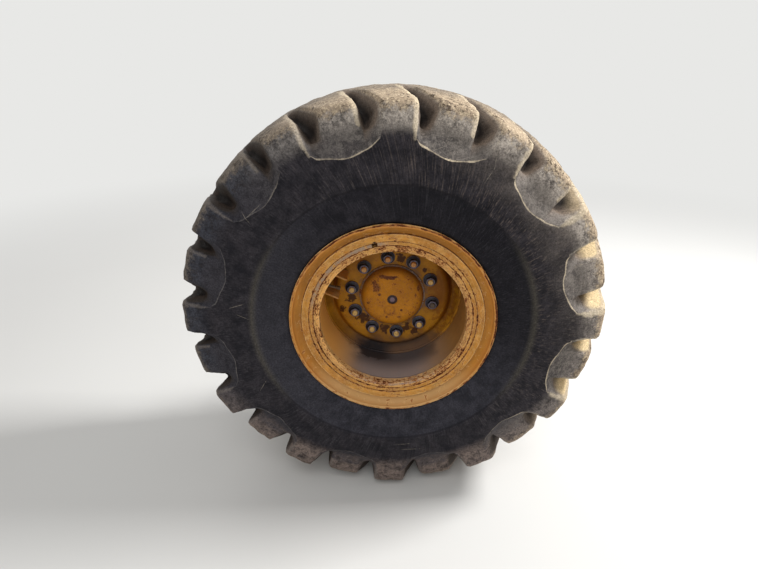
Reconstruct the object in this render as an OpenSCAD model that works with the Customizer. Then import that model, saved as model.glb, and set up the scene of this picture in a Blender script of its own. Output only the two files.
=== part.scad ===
// Front wheel of a large motor grader, on the steering knuckle that carries it.
// The origin is where the kingpin's axis crosses the wheel's axis. +Z is up, +X is to the
// machine's front and -Y is outboard. The wheel turns about Y. All sizes are in millimetres.

/* [Tyre] */
// Outside diameter over the lugs, at the middle of the tread
tyre_d = 1617; // [1560:1:1700]
// Section width at the widest ring of the sidewall
tyre_w = 597; // [580:1:630]
// Width of the tread between its two shoulder edges
tread_w = 528; // [500:1:550]
// How far the tread falls from its middle to a shoulder edge
crown_drop = 29; // [10:1:45]
// Depth of the slots below the tread
slot_depth = 52; // [30:1:60]
// Rubber between the slots' floor and the air space
under_tread = 28; // [20:1:40]
// Thickness of the sidewall
sidewall_t = 28; // [20:1:36]
// Number of deep shoulder recesses round each side, each with one short lug and two slots
recesses = 12; // [10:1:14]
// Width of a short lug at the shoulder
short_lug_w = 123; // [100:1:140]
// Width of a slot's mouth at the shoulder
slot_w = 82; // [60:1:95]
// Width of a slot's floor
slot_floor_w = 19; // [10:1:30]
// Width of a slot at its inner end, near the middle of the tread
slot_end_w = 25; // [15:1:40]
// How far a slot runs round the tyre between the shoulder and the middle of the tread
slot_sweep = 88; // [60:1:110]
// Depth of a shoulder recess below the full lugs' faces
recess_depth = 25; // [12:1:30]
// How far a recess reaches down the sidewall from the tread's edge, in its middle
recess_h = 167; // [140:1:180]
// Where the first recess is, in degrees up from the machine's front
recess_at = 14; // [0:0.5:36]

/* [Rim] */
// Diameter of the bead seats
rim_d = 635; // [625:1:645]
// Width between the two flanges
rim_w = 495; // [480:1:510]
// Height of a flange above the bead seat
flange_h = 63.5; // [55:0.5:70]
// Thickness of a flange
flange_t = 12; // [9:0.5:14]
// Radius of the flange's rolled lip
lip_r = 38; // [32:1:40]
// Thickness of the loose bead seat band, down to the barrel
band_t = 19; // [17:0.5:21]
// Gap between that band and the barrel
band_gap = 1.5; // [0.5:0.1:3]
// Thickness of the barrel's wall
barrel_t = 15; // [12:0.5:17]
// Thickness of the barrel's outboard edge, which holds the lock ring
gutter_t = 24; // [20:0.5:27]
// Depth of the lock ring's groove in that edge
groove_depth = 10; // [8:0.5:12]
// Width of that groove
groove_w = 17; // [14:0.5:20]
// Width of the lip outboard of that groove
gutter_lip_t = 7; // [5:0.5:9]
// Thickness of the bead seat band's lip, and of the stop on the inboard side
stop_t = 8; // [6:0.5:10]
// Height of that lip above the bead seat
stop_h = 22; // [16:1:24]
// Gap between the ends of the split lock ring
lock_gap = 20; // [8:1:30]
// Where that gap is, in degrees up from the machine's front
lock_gap_at = 102.7; // [0:0.1:360]

/* [Wheel disc] */
// Thickness of the disc
disc_t = 19; // [16:1:22]
// Distance from the middle of the tyre out to the disc's bolting face
disc_out = 35; // [20:1:50]
// Diameter of the circle that the studs stand on
bolt_circle = 335; // [325:1:345]
// Metal between that circle and the disc's centre hole
pilot_wall = 32.5; // [31:0.5:38]
// Number of studs
studs = 10; // [8:1:12]
// Where the first stud is, in degrees up from the machine's front
stud_at = 24.4; // [0:0.1:36]
// Stud thread diameter
stud_d = 22; // [18:0.5:24]
// Depth of the rolled valley outside the bolting face
valley = 40; // [28:1:48]
// Flat metal outside the studs' circle
face_wall = 54.5; // [48:0.5:62]

/* [Wheel nuts] */
// Width across the nut's flats
nut_af = 33; // [30:0.5:38]
// Diameter of the nut's coned collar
nut_collar_d = 57; // [50:0.5:60]
// Height of that collar
nut_collar_h = 11; // [8:0.5:14]
// Height of the whole nut
nut_h = 29; // [24:0.5:34]
// How far a stud's end stands out of its nut
stud_proud = 7; // [3:0.5:12]

/* [Hub] */
// Width of the hub's flange outside the studs' circle
hub_rim = 30.5; // [26:0.5:34]
// Thickness of that flange
hub_flange_t = 28; // [22:1:34]
// Wall of the hub's body round the inner journal
hub_wall = 54; // [46:1:58]
// Length of the hub inboard of the wheel disc
hub_len = 190; // [175:1:205]
// How far the hub's pilot stands out of the disc
pilot_proud = 4; // [2:0.5:8]
// How far the cap's foot stands in from the disc's centre hole
cap_step = 8; // [4:0.5:14]
// Height of the cap above the pilot
cap_h = 43; // [30:1:55]
// Wall of the cap
cap_t = 6; // [4:0.5:9]
// Diameter of the filler hole in the middle of the cap
filler_d = 41; // [34:1:48]

/* [Valve] */
// Where the valve is, in degrees up from the machine's front
valve_at = 165; // [150:1:175]
// How far the valve reaches in from the barrel
valve_in = 68; // [40:1:80]
// Direction that the guard's plates point in, in degrees up from the machine's front
guard_at = 155; // [145:1:165]
// How far the guard's middle is off the radius in that direction
guard_off = 26; // [10:1:36]
// Clear width between the guard's plates
guard_w = 79; // [70:1:90]
// Thickness of a guard plate
guard_t = 7; // [5:0.5:10]
// How far the guard stands out from the bolting face
guard_out = 88; // [60:1:100]
// How far the guard's plates reach in over the bolting face
guard_foot = 19; // [8:1:24]
// Valve hole in the barrel
valve_hole_d = 20.5; // [16:0.5:24]

/* [Spindle] */
// Distance from the kingpin's axis out to the middle of the tyre
wheel_out = 356; // [350:1:370]
// Diameter of the inner bearing journal
inner_journal_d = 120; // [110:1:128]
// Diameter of the outer bearing journal
outer_journal_d = 84; // [74:1:92]
// Step up from the inner journal to the one that the seal runs on
seal_step = 12; // [8:0.5:16]
// Width of the spindle's bolting flange outside the seal's journal
spindle_rim = 44; // [41:0.5:50]
// Thickness of that flange
spindle_flange_t = 22; // [18:1:26]
// Gap between the hub's seal and the spindle's flange
flange_gap = 26; // [22:1:32]
// Radial running clearance of the hub on its journals
run_gap = 0.08; // [0.05:0.01:0.1]
// Number of bolts through the spindle's flange
flange_bolts = 8; // [6:1:8]
// Diameter of those bolts
flange_bolt_d = 16; // [12:1:18]

/* [Knuckle] */
// Inside diameter of the kingpin bushings
kingpin_d = 64; // [56:1:68]
// Wall of a kingpin bushing
bush_t = 8; // [6:0.5:10]
// Wall of the knuckle's ears round the bushings
ear_wall = 28; // [22:1:32]
// Height of the gap between the two ears
fork_gap = 160; // [150:1:176]
// Height of one ear
ear_h = 55; // [45:1:65]
// Thickness of the upright that joins the ears
web_t = 38; // [34:1:44]
// Distance from the kingpin's axis back to the tie rod's hole
arm_back = 290; // [270:1:310]
// How far inboard of the kingpin's axis the tie rod's hole is
arm_inboard = 26; // [20:1:40]
// Thickness of the steering arm's eye
arm_t = 46; // [40:1:56]
// Diameter of the tie rod's hole
tie_rod_d = 36; // [30:1:42]

/* [Hidden] */
$fn = 96;

paint = "#c98a2b";
rubber = "#26272a";
steel = "#4a4c50";
bronze = "#9a7a45";

// Wheel, worked out from the sizes above. Places along the wheel's axis are counted from the
// middle of the tyre, and are negative on the outboard side.
tyre_r = tyre_d / 2;
rim_r = rim_d / 2;
bead_y = rim_w / 2;
flange_r = rim_r + flange_h;
lip_y = bead_y + lip_r;
band_ir = rim_r - band_t;
barrel_or = band_ir - band_gap;
barrel_r = barrel_or - barrel_t;
gutter_r = barrel_or - gutter_t;
stop_y = bead_y + flange_t;
stop_r = rim_r + stop_h;
rim_end_y = stop_y + stop_t;
fit = 0.3;
disc_in = disc_t - disc_out;
stud_r = stud_d / 2;
stud_circle_r = bolt_circle / 2;
pilot_r = stud_circle_r - pilot_wall;
bolt_face_r = stud_circle_r + face_wall;

// Ring seats at the outboard edge of the rim base.
gutter_y = rim_end_y - 3.5;
groove_y = gutter_y - gutter_lip_t;
lock_top_r = band_ir + 13;
band_w = 70;

// Hub and spindle.
inner_r = inner_journal_d / 2;
outer_r = outer_journal_d / 2;
seal_r = inner_r + seal_step;
spindle_flange_r = seal_r + spindle_rim;
hub_end_r = inner_r + hub_wall;
cap_r = pilot_r - cap_step;
hub_end_y = disc_in + hub_len;
pilot_y = -disc_out - pilot_proud;
pilot_gap = 0.6;
seal_t = 12;
seal_y = hub_end_y + seal_t;
spindle_face_y = seal_y + flange_gap;
seat_y = spindle_face_y + spindle_flange_t;
knuckle_face = seat_y - wheel_out;
inner_seat = [hub_end_y - 52, hub_end_y - 4];
outer_seat = [disc_in + 4, disc_in + 46];

// Knuckle.
ear_r = kingpin_d / 2 + bush_t + ear_wall;
fork_top = fork_gap / 2 + ear_h;
web_w = 2 * ear_r;
web_in = knuckle_face + web_t;

// Puts a half section, drawn as [radius, place along the axis], round the wheel's axis.
module turned() {
    translate([0, -wheel_out, 0]) rotate([-90, 0, 0]) rotate_extrude() children();
}

// A cylinder along the wheel's axis, from y0 to y1 counted from the middle of the tyre.
module axial(r, y0, y1) {
    translate([0, y0 - wheel_out, 0]) rotate([-90, 0, 0]) cylinder(r = r, h = y1 - y0);
}

// Puts copies round the wheel's axis, the first one `start` degrees up from the front.
module around(count, start, radius) {
    for (i = [0 : count - 1]) {
        rotate([0, -(start + i * 360 / count), 0]) translate([radius, 0, 0]) children();
    }
}

// Section of a flange on the outboard side: a wall, then a lip rolled outwards.
function flange_section() = concat(
    [[rim_r + fit, -bead_y], [flange_r - lip_r, -bead_y]],
    [for (a = [15 : 15 : 90]) [flange_r - lip_r + lip_r * sin(a), -lip_y + lip_r * cos(a)]],
    [[flange_r, -lip_y - 3], [flange_r - flange_t, -lip_y - 3]],
    [for (a = [90 : -15 : 0])
        [flange_r - lip_r + (lip_r - flange_t) * sin(a), -lip_y + (lip_r - flange_t) * cos(a)]],
    [[rim_r + fit, -stop_y]]
);

module outer_flange() {
    color(paint) turned() polygon(flange_section());
}

module inner_flange() {
    color(paint) turned() mirror([0, 1]) polygon(flange_section());
}

// The ring that carries the outboard bead, with a lip that holds the outer flange.
module bead_seat_band() {
    color(paint) turned() polygon([
        [band_ir, -bead_y + band_w], [rim_r - 6, -bead_y + band_w], [rim_r, -bead_y],
        [rim_r, -stop_y], [stop_r, -stop_y], [stop_r, -rim_end_y],
        [lock_top_r + 0.5, -rim_end_y], [lock_top_r + 0.5, -rim_end_y + 4],
        [band_ir, -groove_y + groove_w - 1]
    ]);
}

// The split ring that wedges the band in place.
module lock_ring() {
    color(paint) difference() {
        turned() polygon([
            [barrel_or - groove_depth + fit, -groove_y + groove_w - fit],
            [barrel_or - groove_depth + fit, -groove_y + fit],
            [barrel_or - 2, -groove_y + fit], [barrel_or - 2, -rim_end_y + 2],
            [lock_top_r, -rim_end_y + 2], [lock_top_r, -rim_end_y + 4.5],
            [band_ir - 0.6, -groove_y + groove_w - 1]
        ]);
        around(1, lock_gap_at, barrel_or + 8)
            translate([0, -wheel_out - groove_y, 0]) cube([60, 60, lock_gap], center = true);
    }
}

// Barrel of the rim: a thick outboard edge with a groove, a plain middle and the inboard bead
// seat with its stop.
module rim_base() {
    color(paint) difference() {
        turned() polygon([
            [gutter_r, -gutter_y], [barrel_or - 2.5, -gutter_y], [barrel_or - 2.5, -groove_y],
            [barrel_or - groove_depth, -groove_y], [barrel_or - groove_depth, -groove_y + groove_w],
            [barrel_or, -groove_y + groove_w], [barrel_or, bead_y - 108],
            [rim_r - 6, bead_y - 64], [rim_r, bead_y],
            [rim_r, stop_y], [stop_r, stop_y], [stop_r, rim_end_y],
            [rim_r - barrel_t, rim_end_y], [rim_r - barrel_t - 5, bead_y - 58],
            [barrel_r, bead_y - 100], [barrel_r, -gutter_y + 48], [gutter_r, -gutter_y + 30]
        ]);
        around(1, valve_at, barrel_r - 10)
            translate([0, valve_y - wheel_out, 0]) rotate([0, 90, 0])
                cylinder(d = valve_hole_d, h = barrel_t + 20);
    }
}

// Pressed disc: a flat bolting face, a rolled valley and an edge turned out along the barrel.
module wheel_disc() {
    r0 = bolt_face_r;
    v = valley - disc_out;
    w = (barrel_r - r0) / 60;
    color(paint) difference() {
        turned() polygon([
            [pilot_r, -disc_out], [r0 - 8 * w, -disc_out], [r0 + 2 * w, -disc_out + 2],
            [r0 + 9 * w, -disc_out + 8], [r0 + 18 * w, v - 14], [r0 + 24 * w, v - 3], [r0 + 31 * w, v],
            [r0 + 40 * w, v - 4], [r0 + 50 * w, v - 16], [barrel_r, v - 32],
            [barrel_r, v - 6], [r0 + 53 * w, v + 6], [r0 + 42 * w, v + 16],
            [r0 + 29 * w, v + 19], [r0 + 14 * w, v + 13], [r0 + 4 * w, v - 6],
            [r0 - 5, disc_in], [pilot_r, disc_in]
        ]);
        around(studs, stud_at, stud_circle_r)
            axial(stud_r + 1.5, -disc_out - 1, disc_in + 1);
    }
}

// Two plates between the barrel and the disc, one each side of the valve.
guard_top_r = bolt_face_r - guard_foot;
valve_y = -disc_out - guard_out * 0.68;
module valve_guard() {
    color(paint) intersection() {
        axial(barrel_r, -disc_out - guard_out - 1, -disc_out);
        around(1, guard_at, guard_top_r)
            for (s = [-1, 1]) {
                across = guard_off + s * (guard_w + guard_t) / 2 - guard_t / 2;
                translate([0, -wheel_out - disc_out - guard_out, across])
                    cube([barrel_r - guard_top_r + 20, guard_out, guard_t]);
            }
    }
}

// Brass valve that comes through the barrel, with its cap at the inner end.
valve_foot = 14;
module valve_stem() {
    color(bronze) around(1, valve_at, barrel_r - valve_in)
        translate([0, valve_y - wheel_out, 0]) rotate([0, 90, 0]) {
            cylinder(d = 15, h = 16);
            cylinder(d = 11, h = valve_in - 1);
            translate([0, 0, valve_in - valve_foot])
                cylinder(d = valve_hole_d, h = valve_foot + barrel_t - 2);
        }
}

// Hub: pilot, bolting flange and a body that runs on the spindle's two journals.
module hub() {
    pr = pilot_r - pilot_gap;
    er = hub_end_r;
    fillet_r = min(er + 24, stud_circle_r - stud_head_r - 2);
    flange_back = disc_in + hub_flange_t;
    color(paint) difference() {
        turned() polygon([
            [cap_r - cap_foot_w, pilot_y], [pr, pilot_y], [pr, disc_in],
            [stud_circle_r + hub_rim, disc_in], [stud_circle_r + hub_rim, flange_back - 4],
            [stud_circle_r + hub_rim - 4, flange_back], [fillet_r, flange_back],
            [(er + fillet_r) / 2, flange_back + 16], [er, flange_back + 50],
            [er, hub_end_y - 4], [er - 4, hub_end_y], [inner_r + 24, hub_end_y],
            [inner_r + 24, inner_seat[1]], [inner_r + run_gap, inner_seat[1]],
            [inner_r + run_gap, inner_seat[0]], [inner_r + 14, inner_seat[0]],
            [inner_r + 14, outer_seat[1] + 14], [outer_r + run_gap, outer_seat[1]],
            [outer_r + run_gap, outer_seat[0]], [cap_r - cap_foot_w, outer_seat[0]]
        ]);
        around(studs, stud_at, stud_circle_r) axial(stud_r, disc_in - 1, flange_back + 1);
    }
}

// Ring seal at the hub's inboard end.
module hub_seal() {
    color("#1c1c1e") turned() polygon([
        [seal_r + run_gap, hub_end_y], [hub_end_r - 8, hub_end_y],
        [hub_end_r - 8, seal_y - 3], [hub_end_r - 11, seal_y], [seal_r + run_gap, seal_y]
    ]);
}

// Dished cover over the end of the spindle, with a filler hole.
cap_foot_w = 16;
cap_foot_h = 6;
dome_w = 52;
cap_y = pilot_y - cap_h;
filler_r = filler_d / 2;
function dome_point(a, in) = [
    cap_r - dome_w + (dome_w - in) * cos(a),
    pilot_y - cap_foot_h - (cap_h - cap_foot_h - in) * sin(a)
];
module hub_cap() {
    color(paint) turned() polygon(concat(
        [[cap_r - cap_foot_w, pilot_y], [cap_r, pilot_y]],
        [for (a = [0 : 15 : 90]) dome_point(a, 0)],
        [[filler_r, cap_y - 1], [filler_r, cap_y + cap_t]],
        [for (a = [90 : -15 : 30]) dome_point(a, cap_t)],
        [[cap_r - cap_foot_w, pilot_y - cap_foot_h - 2]]
    ));
}

// Plug in the filler hole.
module cap_plug() {
    color("#5a3a26") union() {
        axial(filler_r, cap_y + 4, cap_y + cap_t);
        translate([0, cap_y - 1 - wheel_out, 0]) rotate([-90, 0, 0])
            cylinder(r = filler_r * 0.54, h = 6, $fn = 6);
    }
}

// Ten studs, each with a round head behind the hub's flange.
stud_head_t = 10;
stud_head_r = stud_d * 0.8;
stud_end_y = -disc_out - nut_h - stud_proud;
module wheel_studs() {
    color("#8a7a55") around(studs, stud_at, stud_circle_r) {
        axial(stud_r, stud_end_y, disc_in + hub_flange_t);
        axial(stud_head_r, disc_in + hub_flange_t, disc_in + hub_flange_t + stud_head_t);
    }
}

// Ten nuts, each a coned collar with a hexagon on it.
module wheel_nuts() {
    collar_y = -disc_out - nut_collar_h;
    color("#1f2023") around(studs, stud_at, stud_circle_r) difference() {
        union() {
            axial(nut_collar_d / 2, -disc_out - 5, -disc_out);
            translate([0, -wheel_out - disc_out - 5, 0]) rotate([90, 0, 0])
                cylinder(r1 = nut_collar_d / 2, r2 = nut_af / 2 + 1, h = nut_collar_h - 5);
            translate([0, -wheel_out + collar_y, 0]) rotate([90, 0, 0])
                cylinder(d = nut_af / cos(30), h = nut_h - nut_collar_h, $fn = 6);
        }
        axial(stud_r + 0.1, -disc_out - nut_h - 1, -disc_out + 1);
    }
}

// Stub axle: a bolting flange, the seal's journal, two bearing journals and a threaded end.
module spindle() {
    color(steel) difference() {
        turned() polygon([
            [0, pilot_y + 2], [outer_r - 8, pilot_y + 2], [outer_r - 6, pilot_y + 4],
            [outer_r - 6, outer_seat[0] - 2], [outer_r, outer_seat[0] - 1],
            [outer_r, outer_seat[1]], [inner_r - 6, inner_seat[0] - 8],
            [inner_r, inner_seat[0]], [inner_r, inner_seat[1] + 2],
            [seal_r, inner_seat[1] + 2.5], [seal_r, spindle_face_y - 6],
            [seal_r + 6, spindle_face_y], [spindle_flange_r, spindle_face_y],
            [spindle_flange_r, seat_y], [0, seat_y]
        ]);
        around(flange_bolts, 22.5, flange_bolt_r)
            axial(flange_bolt_d / 2 + 0.5, spindle_face_y - 1, seat_y + 1);
    }
}

flange_bolt_r = spindle_flange_r - flange_bolt_d - 1;
bolt_head_h = 10;
module spindle_bolts() {
    color(steel) around(flange_bolts, 22.5, flange_bolt_r) {
        axial(flange_bolt_d / 2, spindle_face_y, seat_y + 20);
        translate([0, spindle_face_y - bolt_head_h - wheel_out, 0]) rotate([-90, 0, 0])
            cylinder(d = flange_bolt_d * 1.5 / cos(30), h = bolt_head_h, $fn = 6);
    }
}

// Forked casting: a round seat for the spindle, an upright and two ears for the kingpin.
module knuckle() {
    color(paint) difference() {
        union() {
            translate([0, knuckle_face, 0]) rotate([-90, 0, 0])
                cylinder(r = spindle_flange_r, h = web_t);
            translate([-web_w / 2, knuckle_face + 6, -fork_top]) cube([web_w, web_t - 6, 2 * fork_top]);
            for (s = [0, 1]) mirror([0, 0, s]) {
                translate([0, 0, fork_gap / 2]) cylinder(r = ear_r, h = ear_h);
                translate([-web_w / 2, web_in - 1, fork_gap / 2]) cube([web_w, 1 - web_in, ear_h]);
                // brackets from the spindle's seat up to the ears
                translate([-web_w / 4, web_in - 1, fork_gap / 2 - 24])
                    cube([web_w / 2, 14, 30]);
            }
        }
        translate([0, 0, -fork_top - 1]) cylinder(r = kingpin_d / 2 + bush_t, h = 2 * fork_top + 2);
        around(flange_bolts, 22.5, flange_bolt_r) axial(flange_bolt_d / 2, seat_y - 1, seat_y + 20);
        for (p = arm_bolt_places) translate([-web_w / 2 - 1, p[0], p[1]]) rotate([0, 90, 0])
            cylinder(d = arm_bolt_d, h = arm_bolt_in + 1);
    }
}

// Two flanged bushings for the kingpin.
module kingpin_bushings() {
    color(bronze) for (s = [0, 1]) mirror([0, 0, s]) translate([0, 0, fork_gap / 2]) difference() {
        cylinder(r = kingpin_d / 2 + bush_t, h = ear_h);
        translate([0, 0, -1]) cylinder(d = kingpin_d, h = ear_h + 2);
    }
}

// Arm bolted to the rear of the knuckle's lower ear, for the tie rod.
arm_z = -fork_gap / 2 - ear_h / 2;
arm_y = web_in / 2;
arm_foot_w = 74;
arm_foot_t = 24;
arm_bolt_d = 14;
arm_bolt_in = 22;
arm_bend_x = -arm_back * 0.62;
arm_bolt_places = [for (s = [-1, 1]) [arm_y + s * arm_foot_w * 0.34, arm_z]];
module steering_arm() {
    foot_x = -web_w / 2 - arm_foot_t;
    color(paint) difference() {
        union() {
            translate([foot_x, arm_y - arm_foot_w / 2, arm_z - ear_h / 2 + 2])
                cube([arm_foot_t, arm_foot_w, ear_h - 4]);
            hull() {
                translate([foot_x - 2, arm_y - arm_foot_w * 0.11, arm_z - 18])
                    cube([3, arm_foot_w * 0.22, 36]);
                translate([arm_bend_x, arm_y + 16, arm_z])
                    cylinder(d = 38, h = 34, center = true, $fn = 32);
            }
            hull() {
                translate([arm_bend_x, arm_y + 16, arm_z])
                    cylinder(d = 38, h = 34, center = true, $fn = 32);
                translate([-arm_back + tie_rod_d / 2 + 6, arm_inboard, arm_z])
                    cylinder(d = 40, h = 34, center = true, $fn = 32);
            }
            translate([-arm_back, arm_inboard, arm_z])
                cylinder(d = tie_rod_d + 38, h = arm_t, center = true);
        }
        translate([-arm_back, arm_inboard, arm_z])
            cylinder(d = tie_rod_d, h = arm_t + 2, center = true);
        for (p = arm_bolt_places) translate([foot_x - 1, p[0], p[1]]) rotate([0, 90, 0])
            cylinder(d = arm_bolt_d + 1, h = arm_foot_t + 2);
    }
}

module arm_bolts() {
    color(steel) for (p = arm_bolt_places) {
        translate([-web_w / 2 - arm_foot_t, p[0], p[1]]) rotate([0, 90, 0])
            cylinder(d = arm_bolt_d, h = arm_foot_t + arm_bolt_in);
        translate([-web_w / 2 - arm_foot_t - 9, p[0], p[1]]) rotate([0, 90, 0])
            cylinder(d = arm_bolt_d * 1.5 / cos(30), h = 9, $fn = 6);
    }
}

// Tyre: a carcass and its lugs as one closed grid of rings. The first rings cross the lugs, with
// ten columns to a recess: column 0 is the middle of the short lug and column 5 that of the full
// lug. The others are plain, with four columns to a recess, and follow the sidewall, the bead and
// the air space. The inboard half is the same, mirrored and turned by a fifth of a recess.
columns = 10;
plain_columns = 4;
pitch = 360 / recesses;
stagger = 2 * pitch / columns;
tread_y = tread_w / 2;
side_y = tyre_w / 2;
shoulder_r = tyre_r - crown_drop;
degrees_a_mm = 180 / (PI * shoulder_r);
short_at = short_lug_w / 2 * degrees_a_mm;
mouth_at = short_at + slot_w * degrees_a_mm;
slot_at = (short_at + mouth_at) / 2;

// The tread is flat between the slots' inner ends, and falls from there to the shoulders.
slot_end = tread_y / 6;
short_y = tread_y - recess_depth;
function crown(y) = [tyre_r - crown_drop * pow((y - slot_end) / (tread_y - slot_end), 1.6), y];

// Tread rings: [full lug, short lug, slot floor, how open the slot is], as [radius, place].
tread_rings = [
    [crown(slot_end), crown(slot_end), crown(slot_end) - [2, 0], 0],
    [crown(tread_y * 0.3), crown(tread_y * 0.3), crown(tread_y * 0.3) - [slot_depth * 0.8, 0], 0.4],
    [crown(tread_y * 0.59), crown(tread_y * 0.59), crown(tread_y * 0.59) - [slot_depth, 0], 0.67],
    [crown(tread_y), [shoulder_r + 3, short_y],
        [shoulder_r - slot_depth * 1.1, short_y - recess_depth], 1],
    [[shoulder_r - 23, tread_y + 11], [shoulder_r - 27, short_y + 11],
        [shoulder_r - slot_depth * 1.1 - 16, short_y - recess_depth + 14], 1]
];
// The last two tread rings are the slope up out of a recess, and its lower edge.
slope_h = 48;
edge_side_r = shoulder_r - recess_h * 0.76;
edge_y = side_y - 7;

function edge_r(away) = edge_side_r - recess_h * 0.24 * max(0, 1 - away / mouth_at);

// Degrees from a recess's middle to a column's lug or slot edge.
function edge_angle(away, open) =
    let (half = (slot_end_w + (slot_w - slot_end_w) * open) / 2 * degrees_a_mm,
         floor_half = min(slot_floor_w / 2 * degrees_a_mm, half * 0.45))
    [0, slot_at - half, slot_at - floor_half, slot_at + floor_half, slot_at + half, pitch / 2][away];

// [radius, place, angle] of a column on a tread ring.
function tread_point(ring, column) =
    let (q = column % columns, away = min(q, columns - q), plain = len(tread_rings),
         open = ring < plain ? tread_rings[ring][3] : 1, off = edge_angle(away, open),
         kind = away > 3 ? 0 : away > 1 ? 2 : 1, floor_y = edge_y - [3, recess_depth, recess_depth + 9][kind],
         spot = ring < plain ? tread_rings[ring][kind]
             : ring == plain ? [edge_r(off) + slope_h, floor_y] : [edge_r(off), edge_y],
         sweep = slot_sweep * degrees_a_mm * (ring < 3 ? 1 - spot[1] / tread_y : 0))
    [spot[0], spot[1], (q <= columns / 2 ? off : pitch - off) + sweep + pitch * floor(column / columns)];

// Plain rings, from the widest ring of the sidewall to the bead and back through the air space.
bead_r = rim_r + 0.4;
bead_lip_r = lip_r + 1.5;
air_r = tyre_r - slot_depth - under_tread;
plain_rings = concat(
    [[flange_r + 159, side_y], [flange_r + 20, side_y - 7], [flange_r + 4, lip_y - 3]],
    [for (a = [67.5 : -22.5 : 0])
        [flange_r - lip_r + bead_lip_r * sin(a), lip_y - bead_lip_r * cos(a)]],
    [[bead_r, bead_y - 1], [bead_r, bead_y - 60], [flange_r + 10, lip_y - 34],
        [flange_r + 100, side_y - sidewall_t], [tyre_r - 178, side_y - sidewall_t - 18]]
);

// All the rings in order, from the outboard slot ends round to the inboard ones.
tread_count = len(tread_rings) + 2;
half_count = tread_count + len(plain_rings);
ring_count = 2 * half_count + 1;
function is_plain(ring) = ring >= tread_count && ring < ring_count - tread_count;
function ring_size(ring) = recesses * (is_plain(ring) ? plain_columns : columns);
function ring_start(ring) = ring == 0 ? 0 : ring_start(ring - 1) + ring_size(ring - 1);
ring_starts = [for (ring = [0 : ring_count - 1]) ring_start(ring)];

// A chord of a plain ring cuts inside its circle, so its corners stand out by that much.
function plain_point(spot, k) =
    [spot[0] / cos(pitch / plain_columns / 2), spot[1], k * pitch / plain_columns];
function ring_point(ring, k) = ring < tread_count ? tread_point(ring, k)
    : plain_point(ring == half_count ? [air_r, 0] : plain_rings[ring - tread_count], k);
function on_wheel(spot, side, turn) =
    let (a = recess_at + spot[2] + turn) [spot[0] * cos(a), side * spot[1], spot[0] * sin(a)];
tyre_points = [
    for (ring = [0 : ring_count - 1], k = [0 : ring_size(ring) - 1])
        ring <= half_count ? on_wheel(ring_point(ring, k), -1, 0)
            : on_wheel(ring_point(ring_count - 1 - ring, k), 1, stagger)
];

// Number of a ring's k-th point.
function at(ring, k) = ring_starts[ring] + (k + ring_size(ring)) % ring_size(ring);
// Two triangles for each column between two rings of one size, the second shifted by some columns.
function band(a, b, shift = 0) = [
    for (k = [0 : ring_size(a) - 1]) each [
        [at(a, k), at(b, k + 1 + shift), at(a, k + 1)], [at(a, k), at(b, k + shift), at(b, k + 1 + shift)]
    ]
];
// Seven triangles for each half recess between a tread ring (f) and a plain ring (s).
function change(f, s) = [
    for (h = [0 : 2 * recesses - 1]) let (p = 5 * h, q = 2 * h) each [
        [at(s, q), at(f, p + 1), at(f, p)], [at(s, q), at(s, q + 1), at(f, p + 1)],
        [at(s, q + 1), at(f, p + 2), at(f, p + 1)], [at(s, q + 1), at(f, p + 3), at(f, p + 2)],
        [at(s, q + 1), at(f, p + 4), at(f, p + 3)], [at(s, q + 1), at(s, q + 2), at(f, p + 4)],
        [at(s, q + 2), at(f, p + 5), at(f, p + 4)]
    ]
];
function turned_over(faces) = [for (f = faces) [f[0], f[2], f[1]]];
last_far = ring_count - tread_count;
tyre_faces = concat(
    [for (r = [0 : ring_count - 2]) each
        r == tread_count - 1 ? change(r, r + 1)
        : r == last_far - 1 ? turned_over(change(r + 1, r))
        : band(r, r + 1, r == half_count ? -1 : 0)],
    band(ring_count - 1, 0, 2)
);

module tyre() {
    color(rubber) translate([0, -wheel_out, 0]) polyhedron(tyre_points, tyre_faces, convexity = 8);
}

tyre();
rim_base();
outer_flange();
inner_flange();
bead_seat_band();
lock_ring();
wheel_disc();
valve_guard();
valve_stem();
hub();
hub_cap();
cap_plug();
hub_seal();
wheel_studs();
wheel_nuts();
spindle();
spindle_bolts();
knuckle();
kingpin_bushings();
steering_arm();
arm_bolts();
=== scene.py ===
# %% [markdown]
# # Front wheel of a motor grader
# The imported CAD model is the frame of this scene: every ring, nut and casting is already in its
# real place. Blender adds what a CAD solid doesn't carry well, which is a tyre with worn lugs,
# rings with rounded edges, weld beads, and finishes with dust, rust and chipped paint.

import math

import bmesh
import bpy
from mathutils import Matrix, Vector


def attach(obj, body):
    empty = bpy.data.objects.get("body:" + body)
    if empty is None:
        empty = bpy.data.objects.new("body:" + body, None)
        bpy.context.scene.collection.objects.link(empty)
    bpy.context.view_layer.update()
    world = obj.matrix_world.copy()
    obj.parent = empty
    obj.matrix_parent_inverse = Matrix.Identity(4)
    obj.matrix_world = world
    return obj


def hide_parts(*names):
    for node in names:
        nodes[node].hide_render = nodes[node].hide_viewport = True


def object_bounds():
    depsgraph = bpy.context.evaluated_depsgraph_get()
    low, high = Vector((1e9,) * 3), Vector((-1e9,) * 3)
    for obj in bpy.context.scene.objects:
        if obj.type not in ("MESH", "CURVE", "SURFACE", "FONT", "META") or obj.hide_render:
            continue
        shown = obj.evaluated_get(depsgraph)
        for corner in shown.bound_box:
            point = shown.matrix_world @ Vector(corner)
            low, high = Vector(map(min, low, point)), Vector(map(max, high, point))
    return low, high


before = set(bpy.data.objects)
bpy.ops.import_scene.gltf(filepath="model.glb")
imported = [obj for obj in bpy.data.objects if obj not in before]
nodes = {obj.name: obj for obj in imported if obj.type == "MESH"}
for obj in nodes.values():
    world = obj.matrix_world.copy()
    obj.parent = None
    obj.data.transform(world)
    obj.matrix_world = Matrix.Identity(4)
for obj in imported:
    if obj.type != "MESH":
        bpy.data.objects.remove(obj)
cad_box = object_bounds()
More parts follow.
